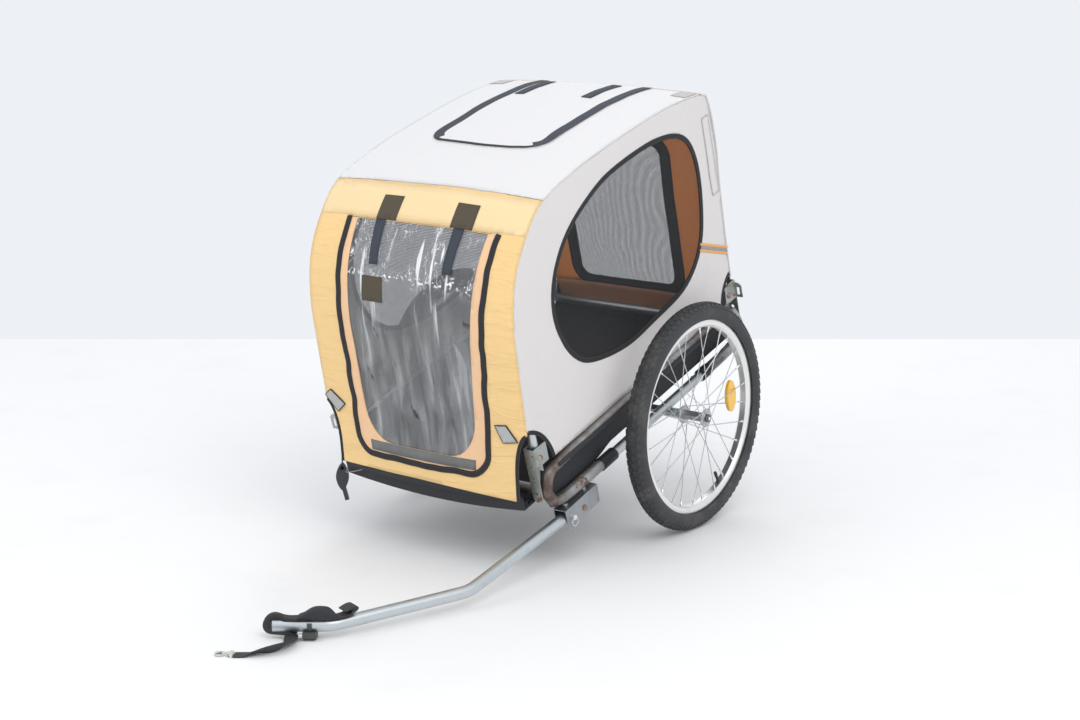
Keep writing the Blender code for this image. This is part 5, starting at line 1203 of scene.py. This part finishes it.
def leaning(outline):
    """The door and its pane hang a little askew in the photograph: their top is pulled to the left."""
    slope = (DOOR_LEAN_TOP - DOOR_LEAN_LOW) / (DOOR_TOP_Z - DOOR_LOW_Z)
    return [(y + DOOR_LEAN_LOW + slope * (z - DOOR_LOW_Z), z) for y, z in outline]


def door_outline():
    shape = rounded_rect((-DOOR_HALF_TOP, DOOR_LOW_Z), (DOOR_HALF_TOP, DOOR_TOP_Z), corner=0.045, steps=8,
                         top_corner=0.002)
    return leaning(tapered(shape, DOOR_LOW_Z, DOOR_TOP_Z, DOOR_HALF_LOW, DOOR_HALF_TOP))


def pane_outline():
    shape = rounded_rect((-PANE_HALF_TOP, PANE_LOW_Z), (PANE_HALF_TOP, PANE_TOP_Z), corner=0.075, steps=8,
                         top_corner=0.003)
    return leaning(tapered(shape, PANE_LOW_Z, PANE_TOP_Z, PANE_HALF_LOW, PANE_HALF_TOP))


def dress_front():
    """The front panel with its lifted hem, its header and the bindings of its cut-away corners."""
    hem = [(RELIEF_IN_Y * (1 - k / 12), FRONT_HEM_Z + HEM_LIFT * sin(pi * 0.8 * k / 24)) for k in range(25)]
    ends = {1: hem[0][1], -1: hem[-1][1]}
    corners = {side: relief_corner(spring=0.110, high=0.205, floor=z) for side, z in ends.items()}
    right = [(-y, z) for y, z in corners[-1]]
    top = [(CABIN_Y, FRONT_TOP_Z), (-CABIN_Y, FRONT_TOP_Z)]
    outline = dense(corners[1] + top + right[::-1] + hem[-2:0:-1])
    sheet("front_panel_dressed", outline, on_front, YELLOW, ["front_hoop", "front_crossbar"],
          holes=[dense(door_outline())], nodes=["front_panel"])
    header = dense(rectangle((-HEADER_HALF, DOOR_TOP_Z + 0.002), (HEADER_HALF, FRONT_TOP_Z - 0.003)))
    sheet("front_header", header, on_front, LIGHT_YELLOW, ["front_panel_dressed"], wall=0.0006, lift=0.0010)
    for name, side in SIDES:
        route = [(side * y, z) for y, z in corners[side]]
        tape("front_corner_binding_" + name, route[:-1], on_front, BINDING, half=0.0038)


def dress_door():
    """The door with its net, its clear sheet, its piping and its grey strip."""
    pane = pane_outline()
    sheet("front_door_dressed", dense(grown(door_outline(), by=-0.0008)), on_front, DOOR_YELLOW,
          ["front_panel_dressed"], "front_door", [dense(pane)], ["front_door"], held="hung")
    sheet("door_net", dense(grown(pane, by=0.006)), sunk_front, DOOR_NET, ["front_door_dressed"],
          "front_door", wall=0.0, held="hung")
    sheet("door_window_dressed", dense(grown(pane, by=0.004)), crinkled, CLEAR_SHEET, ["front_door_dressed"],
          "front_door", nodes=["door_window"], wall=0.0, lift=-0.0006, held="hung", grid=0.007)
    route = [p for p in door_outline() if p[1] < DOOR_TOP_Z - 0.003]
    start = max(range(len(route)), key=lambda i: (route[i][1], -route[i][0]) if route[i][0] < 0 else (-1, 0))
    right, left = [(side * DOOR_HALF_TOP + DOOR_LEAN_TOP, DOOR_TOP_Z) for side in (-1, 1)]
    route = [right] + route[start:] + route[:start] + [left]
    tape("door_piping", route, on_piping, BINDING, "front_door", half=0.0066, rise=0.0022)
    strip = [(-0.138, 0.121), (0.134, 0.121), (0.136, 0.142), (-0.140, 0.142)]
    sheet("door_grey_strip", dense(strip), on_front, DULL_TAPE, ["front_door_dressed"], "front_door",
          wall=0.0006, lift=0.0008, held="laid")


def dress_front_details():
    """Hook-tape patches above the door, the straps in front of the pane, and the reflective tabs."""
    for name, low, high in (("right", -0.101, -0.050), ("left", 0.088, 0.140)):
        corners = rectangle((low, HOOK_PATCH_Z[0]), (high, HOOK_PATCH_Z[1]))
        patch("hook_patch_" + name, corners, on_front, HOOK_TAPE, ["front_header"], wall=0.0010, lift=0.0022)
    for name, top, low in (("right", -0.089, -0.084), ("left", 0.109, 0.104)):
        corners = [(low - 0.010, STRAP_LOW_Z), (low + 0.012, STRAP_LOW_Z), (top + 0.013, HOOK_PATCH_Z[0]),
                   (top - 0.011, HOOK_PATCH_Z[0])]
        patch("hanging_strap_" + name, corners, on_front, STRAP, ["front_door_dressed"], "front_door",
              wall=0.0012, lift=0.0014, held="hung")
    patch("door_patch", rectangle((-0.113, 0.439), (-0.059, 0.487)), sunk_front, HOOK_TAPE, ["door_net"],
          "front_door", lift=0.0010)
    for name, corners in TABS:
        patch("reflective_tab_" + name, corners, on_front, SILVER_TAB, wall=0.0022, lift=0.0030)
        tape("tab_edge_" + name, corners, on_front, BINDING, half=0.0008, rise=0.0004, closed=True,
             lift=0.0030)


# Roof of the cabin
ROOF_X = (-0.2845, 0.2865)
ROOF_NET = ((-0.245, -0.115), (0.085, 0.115))
NET_DEPTH = -0.0018
NET_REACH = 0.008
FLAP = (-0.280, 0.130)
FLAP_HALF = 0.148
FLAP_CORNER = 0.050
FLAP_LEAN = 0.016
FLAP_BOW = 0.008
ROOF_STRAP_X = (-0.258, -0.142)
ROOF_STRAP_HALF = 0.012
ROOF_CORNER = [(-0.236, 0.2595), (-0.236, 0.222), (-0.280, 0.222), (-0.280, 0.2595)]


def flap_outline():
    """The roof flap's outline, square at its rear edge and round at its front corners."""
    low, high = FLAP
    half = [(low, FLAP_HALF), (high - FLAP_CORNER, FLAP_HALF)]
    for k in range(1, 10):
        angle = pi / 2 * k / 10
        half.append((high - FLAP_CORNER * (1 - sin(angle)), FLAP_HALF - FLAP_CORNER * (1 - cos(angle))))
    straight = FLAP_HALF - FLAP_CORNER
    front = [(high + FLAP_BOW * (1 - (k / 6) ** 2), straight * k / 6) for k in range(-6, 7)]
    whole = [(x, -y) for x, y in half] + front + half[::-1]
    return [(x, y - FLAP_LEAN * (high - x) / (high - low)) for x, y in whole]


def dress_roof():
    """The roof panel with its net, and the flap over it with its bound edges."""
    low, high = ROOF_X
    net = rounded_rect(*ROOF_NET, corner=0.030)
    sheet("roof_panel_dressed", dense(rectangle((low, -CABIN_Y), (high, CABIN_Y))), on_roof, ROOF,
          ["front_hoop", "rear_hoop"], holes=[dense(net)], nodes=["roof_panel"])
    sheet("roof_window_net_dressed", dense(grown(net, by=NET_REACH)), on_roof, NET, ["roof_panel_dressed"],
          nodes=["roof_window_net"], wall=0.0, lift=NET_DEPTH)
    tape("roof_net_binding", net, on_roof, BINDING, half=0.006, rise=0.0002, sink=0.0016, closed=True)
    flap = flap_outline()
    sheet("roof_flap_dressed", dense(flap), on_roof, ROOF, ["roof_panel_dressed"], "roof_flap",
          nodes=["roof_flap"], wall=0.0012, lift=0.0017, held="laid")
    edge = [p for p in grown(flap, by=-0.0117) if low + 0.015 < p[0] < FLAP[1] - FLAP_CORNER * 0.35]
    for name, side in SIDES:
        along = [p for p in edge if side * (p[1] + FLAP_LEAN / 2) > 0][::-side]
        route = [(FLAP[0] + 0.001, along[0][1])] + along
        tape("roof_flap_binding_" + name, route, on_roof, STRAP, "roof_flap", half=0.0125, rise=0.0006,
             sink=0.0004, lift=0.0019)
    edge = [p for p in grown(flap, by=-0.0045) if p[0] > FLAP[1] - FLAP_CORNER * 0.75]
    tape("roof_flap_front_edge", edge, on_roof, BINDING, "roof_flap", half=0.0045, rise=0.0006, sink=0.0004,
         lift=0.0021)


def dress_roof_details():
    """The two strap ends at the flap's rear edge, and the patches at the roof's corners."""
    for name, y in (("right", -0.106), ("left", 0.070)):
        corners = rectangle((ROOF_STRAP_X[0], y - ROOF_STRAP_HALF), (ROOF_STRAP_X[1], y + ROOF_STRAP_HALF))
        patch("roof_strap_" + name, corners, on_roof, STRAP, ["roof_flap_dressed"], "roof_flap", wall=0.0014,
              lift=0.0036)
    for name, side in SIDES:
        corners = [(x, side * y) for x, y in ROOF_CORNER]
        patch("roof_corner_patch_" + name, corners, on_roof, SEAM_TAPE, ["roof_panel_dressed"], lift=0.0016)


# Rear of the cabin
REAR_TOP_Z = 0.6125
REAR_HEM_Z = 0.1205
REAR_PIPING_Z = 0.180
REAR_NET = ((-0.160, 0.125), (0.125, 0.480))


def dress_rear():
    """The rear panel with its net, the bindings of its cut-away corners and the piping of its edge."""
    corner = relief_corner(spring=0.157, high=0.179, floor=REAR_HEM_Z)
    mirrored = [(-y, z) for y, z in reversed(corner)]
    outline = dense(corner + [(CABIN_Y, REAR_TOP_Z), (-CABIN_Y, REAR_TOP_Z)] + mirrored)
    net = rounded_rect(*REAR_NET, corner=0.040)
    sheet("rear_panel_dressed", outline, on_rear, SHADED_REAR_YELLOW, ["rear_hoop"], holes=[dense(net)],
          nodes=["rear_panel"])
    sheet("rear_window_net_dressed", dense(grown(net, by=NET_REACH)), on_rear, NET, ["rear_panel_dressed"],
          nodes=["rear_window_net"], wall=0.0, lift=NET_DEPTH)
    tape("rear_net_binding", net, on_rear, BINDING, half=0.014, sink=0.0026, closed=True)
    for name, side in SIDES:
        tape("rear_corner_binding_" + name, [(side * y, z) for y, z in corner][:-1], on_rear, BINDING)
    edge_y, edge_z = CABIN_Y - 0.0012, REAR_TOP_Z - 0.0022
    rim = [(-edge_y, REAR_PIPING_Z), (-edge_y, edge_z), (edge_y, edge_z), (edge_y, REAR_PIPING_Z)]
    tape("rear_edge_piping", rim, on_rear, PALE, half=0.0028, rise=0.0012, sink=0.0024)


# Sides of the cabin
RAIL_TOP_Z = 0.1194
SIDE_FLOOR = RAIL_TOP_Z + 0.0010
SIDE_NET_REACH = 0.006
ARC_STEPS = 40
ARC_SWEEP = radians(130)
ARC_GAP = 0.0015
SIDE_INSET = 0.0020
SIDE_CUTS = (((0.490, 0.110), (0.087, 0.102)), ((-0.325, 0.110), (0.078, 0.088)))
WINDOW_OUTLINE = [(-0.184, 0.560), (-0.230, 0.500), (-0.233, 0.400), (-0.205, 0.302), (-0.130, 0.243),
                  (0.000, 0.224), (0.130, 0.223), (0.255, 0.260), (0.315, 0.350), (0.306, 0.450),
                  (0.230, 0.533), (0.090, 0.582), (-0.070, 0.586)]
STRIPE = [(-0.304, 0.251), (-0.203, 0.305), (-0.198, 0.287), (-0.299, 0.233)]
STRIPE_ROWS = (("upper", -0.0028, STRIPE[0], STRIPE[1]), ("lower", 0.0028, STRIPE[3], STRIPE[2]))
POCKET_STRIP = [(-0.276, 0.384), (-0.301, 0.384), (-0.304, 0.559), (-0.279, 0.559)]
REAR_LOW_EDGE = [(-0.247, 0.1205), (-0.262, 0.135), (-0.264, 0.156)]


def side_arc(cut, away, kept_to):
    """A cut-away corner of the side panel, from its floor up to the cabin's outline."""
    (x, z), (a, b) = cut
    foot = (SIDE_FLOOR - z) / b
    first = atan2(foot, sqrt(1 - foot * foot))
    points = []
    for k in range(ARC_STEPS + 1):
        angle = first + ARC_SWEEP * k / ARC_STEPS
        spot = (x + away * a * cos(angle), z + b * sin(angle))
        if away * (spot[0] - kept_to) > ARC_GAP or not points:
            points.append(spot)
    return points


def side_outline():
    """A side panel's outline, with the routes of its two cut-away corners."""
    inset = [p + Vector((-way.z, 0, way.x)) * SIDE_INSET for p, way in zip(CURVE, tangents(CURVE))]

    def outside(spot, cut):
        (x, z), (a, b) = cut
        return ((spot.x - x) / a) ** 2 + ((spot.z - z) / b) ** 2 > 1

    kept = [(p.x, p.z) for p in inset if p.z > SIDE_FLOOR and all(outside(p, cut) for cut in SIDE_CUTS)]
    front = [p for p in side_arc(SIDE_CUTS[0], -1, kept[0][0]) if p[0] < kept[0][0] and p[1] < kept[0][1]]
    rear = [p for p in side_arc(SIDE_CUTS[1], 1, kept[-1][0]) if p[0] > kept[-1][0] and p[1] < kept[-1][1]]
    return front + kept + rear[::-1], front, rear


def dress_sides():
    """The side panels with their nets and bindings."""
    outline, front, rear = side_outline()
    window = [(p.x, p.y) for p in smooth([(x, z, 0) for x, z in WINDOW_OUTLINE], 6, closed=True)]
    for name, side in SIDES:
        place = on_side(side)
        sheet(name + "_side_panel_dressed", dense(outline), place, PALE,
              ["front_hoop", "rear_hoop", name + "_side_frame"], holes=[window], nodes=[name + "_side_panel"])
        sheet(name + "_window_net_dressed", grown(window, by=SIDE_NET_REACH), place, SIDE_NET,
              [name + "_side_panel_dressed"], nodes=[name + "_window_net"], wall=0.0, lift=NET_DEPTH)
        tape(name + "_window_binding", window, place, BINDING, half=0.0055, rise=0.0012, sink=0.0022,
             closed=True)
        tape(name + "_front_corner_edge", front, place, BINDING, half=0.0045)
        tape(name + "_rear_corner_edge", rear, place, BINDING, half=0.0045)


def dress_side_details():
    """The striped tape and the pocket strip at the rear of the side panels, and their low rear edge."""
    for name, side in SIDES:
        place = on_side(side)
        under = [name + "_side_panel_dressed"]
        patch(name + "_stripe", STRIPE, place, GREY_TAPE, under, wall=0.0006, lift=0.0010)
        for row, inward, first, last in STRIPE_ROWS:
            route = [(x, z + inward) for x, z in (first, last)]
            tape(name + "_stripe_" + row, route, place, ORANGE_TAPE, half=0.0026, rise=0.0004, sink=0.0006,
                 lift=0.0012)
        patch(name + "_pocket_strip", POCKET_STRIP, place, PALE, under, wall=0.0010, lift=0.0016)
        tape(name + "_pocket_seam", POCKET_STRIP, place, SEAM_TAPE, half=0.0010, rise=0.0004, sink=0.0010,
             closed=True, lift=0.0018)
        tape(name + "_rear_low_edge", REAR_LOW_EDGE, place, BINDING, half=0.0040, lift=0.0004)


# Tub
RAIL_Y = 0.262
RAIL_RADIUS = 0.0125
RAIL_HIGH_Z = RAIL_TOP_Z - RAIL_RADIUS
SLEEVE_X = (-0.256, 0.408)
SLEEVE_ANGLES = (-115, 22)
SLEEVE_WALL = 0.0012
SLEEVE_ROLL = 0.16
SLEEVE_STEPS = 90
SKIRT = [(0.432, 0.021), (0.290, 0.021), (0.185, 0.0435), (0.432, 0.0435)]


def rail_sleeve(name, side):
    """The tub's edge, which wraps the upper rail from below and leaves its top bare."""
    first, last = (radians(angle) for angle in SLEEVE_ANGLES)
    turns = [first + (last - first) * k / 10 for k in range(11)]
    outer, inner = ([(cos(a) * (RAIL_RADIUS + away), sin(a) * (RAIL_RADIUS + away)) for a in turns]
                    for away in (SLEEVE_WALL, CLEAR))
    frames = []
    for k in range(SLEEVE_STEPS + 1):
        share = k / SLEEVE_STEPS if side > 0 else 1 - k / SLEEVE_STEPS
        x = SLEEVE_X[0] + (SLEEVE_X[1] - SLEEVE_X[0]) * share
        roll = noise.noise(Vector((x * 14, side, 0.4))) * SLEEVE_ROLL
        frame = frame_at(Vector((x, side * RAIL_Y, RAIL_HIGH_Z)), Vector((0, side, 0)), Vector((0, 0, 1)),
                         Vector((side, 0, 0)))
        frames.append(frame @ Matrix.Rotation(roll, 4, "Z"))
    bm = swept(outer + inner[::-1], frames)
    sleeve = finished(name + "_rail_sleeve", bm, BLACK_CLOTH, "chassis", angle=50)


def dress_tub():
    """The cloth tub, its sleeves round the upper rails and its lower side skirts."""
    tub = refined("tub", BLACK_CLOTH, levels=1, crease=80)
    for name, side in SIDES:
        rail_sleeve(name, side)
        patch("tub_skirt_" + name, SKIRT, on_tub_side(side), BLACK_CLOTH, ["tub_dressed"], lift=0.0,
              held="hung")


def dress_tub_edges():
    """The tub's black front band under the hem, and the apron inside its rear wall."""
    edge = FRONT_HEM_Z - 0.0005
    cut = dense([(-0.224, edge), (0.228, edge), (0.228, 0.086), (-0.224, 0.092)])
    sheet("tub_front_band", cut, sunk_front, BLACK_CLOTH, ["tub_dressed"], wall=0.0008, lift=-0.0004)
    cut = dense(rectangle((-0.222, APRON_LOW_Z), (0.222, APRON_TOP_Z)))
    sheet("rear_apron", cut, on_apron, SHADED_REAR_YELLOW, ["rear_panel_dressed"], wall=0.0010, held="hung")


# Tow arm
STRAP_WIDTH = 0.025
TIP = Matrix(((0.58583, 0.81043, 0, 0.59575), (-0.81043, 0.58583, 0, 0.0740), (0, 0, 1, 0), (0, 0, 0, 1)))
LOOP_START = -0.045
LOOP_SPAN = 0.028
LOOP_PINCH = 0.62


def narrowed(thing):
    """The safety strap's loop round the arm's end, pinched narrower as the webbing bends over."""
    back = TIP.inverted()
    for vert in thing.data.vertices:
        place = back @ vert.co
        if abs(place.y) < STRAP_WIDTH * 0.54 and place.x > LOOP_START:
            share = min(1.0, (place.x - LOOP_START) / LOOP_SPAN)
            place.y *= 1 - LOOP_PINCH * share * share * (3 - 2 * share)
            vert.co = TIP @ place
    return thing


def dress_arm():
    """The tow arm with its clamp, pad and wing nut, and the safety strap with its snap hook."""
    refined("tow_arm", TUBE, "tow_arm")
    refined("arm_end_cap", BLACK, "tow_arm")
    refined("arm_clamp", BLOCK, "tow_arm", crease=30)
    pad = refined("arm_pad", BLACK_CLOTH, "tow_arm", levels=3, crease=80)
    strap = narrowed(refined("safety_strap", WEBBING, "tow_arm", levels=1, crease=25))
    refined("snap_hook", MILKY, "tow_arm", crease=40)
    refined("snap_hook_gate", MILKY, "snap_hook_gate", crease=40)
    refined("clamp_wing_nut", CHROME, "clamp_wing_nut", crease=40)


# Room
FLOOR_NEAR = 6.0
FLOOR_FAR = 2.05
FLOOR_SIDE = 6.0
SKY_COLOUR = colour(0.93, 0.95, 1.0)
SKY_STRENGTH = 0.88
WALL_COLOUR = colour(0.85, 0.88, 0.92)
LAMPS = (("key", (1.2, 2.6, 3.4), (-0.1, 0, 0.4), (2.6, 2.6), 50),
         ("fill", (3.2, -1.6, 2.4), (0, 0, 0.4), (2.4, 2.0), 24),
         ("back", (-2.8, -1.2, 3.2), (-0.2, 0, 0.5), (2.6, 2.2), 22))


def floor_material():
    """Matt white floor paint with faint scuffs."""
    material, tree, shader, place = new_material("floor_paint", colour(0.90, 0.90, 0.89), 0.7)
    scuffs = grouped(tree, PATCHES, Vector=place, Clean=colour(0.91, 0.91, 0.90), Scale=3.5, Cover=0.45,
                     Patch=colour(0.84, 0.84, 0.83), Softness=1.0)
    tree.links.new(scuffs["Color"], shader.inputs["Base Color"])
    return material


def build_floor():
    """A floor turned to face the camera, which ends behind the trailer."""
    mesh = bpy.data.meshes.new("floor")
    bm = bmesh.new()
    bmesh.ops.create_grid(bm, x_segments=1, y_segments=1, size=1.0)
    bmesh.ops.scale(bm, vec=((FLOOR_NEAR + FLOOR_FAR) / 2, FLOOR_SIDE, 1), verts=bm.verts)
    bmesh.ops.translate(bm, vec=((FLOOR_NEAR - FLOOR_FAR) / 2, 0, 0), verts=bm.verts)
    bmesh.ops.transform(bm, matrix=Matrix.Rotation(CAMERA_YAW, 4, "Z"), verts=bm.verts)
    bm.to_mesh(mesh)
    bm.free()
    mesh.materials.append(floor_material())
    ground = bpy.data.objects.new("floor", mesh)
    bpy.context.collection.objects.link(ground)


def build_sky():
    """A pale room light, with a wall colour of its own where the camera or a reflection sees it."""
    world = bpy.data.worlds.new("room")
    bpy.context.scene.world = world
    world.use_nodes = True
    tree = world.node_tree
    light = tree.nodes["Background"]
    light.inputs["Color"].default_value = SKY_COLOUR
    light.inputs["Strength"].default_value = SKY_STRENGTH
    seen = put(tree, "ShaderNodeBackground", {"Color": WALL_COLOUR, "Strength": 1.0})
    path = put(tree, "ShaderNodeLightPath").outputs
    gloss = maths(tree, "MAXIMUM", path["Is Glossy Ray"], path["Is Transmission Ray"])
    rays = maths(tree, "MAXIMUM", path["Is Camera Ray"], gloss)
    shown = put(tree, "ShaderNodeMixShader", {0: rays, 1: light.outputs[0], 2: seen.outputs[0]})
    tree.links.new(shown.outputs[0], tree.nodes["World Output"].inputs["Surface"])


def place_lamps():
    """Three large soft lamps, each by its place, its aim, its size and its power."""
    for name, at, towards, size, power in LAMPS:
        data = bpy.data.lights.new(name, "AREA")
        data.shape = "RECTANGLE"
        data.size, data.size_y = size
        data.energy = power
        thing = bpy.data.objects.new(name, data)
        bpy.context.collection.objects.link(thing)
        thing.matrix_world = aim(at, Vector(at) - Vector(towards))


# Making
place_camera()
dress_cords()
build_floor()
build_sky()
place_lamps()
bpy.context.scene.view_settings.view_transform = "Standard"
dress_frame()
dress_wheels()
dress_front()
dress_door()
dress_roof()
dress_rear()
dress_sides()
dress_front_details()
dress_side_details()
dress_roof_details()
dress_tub()
dress_tub_edges()
dress_arm()
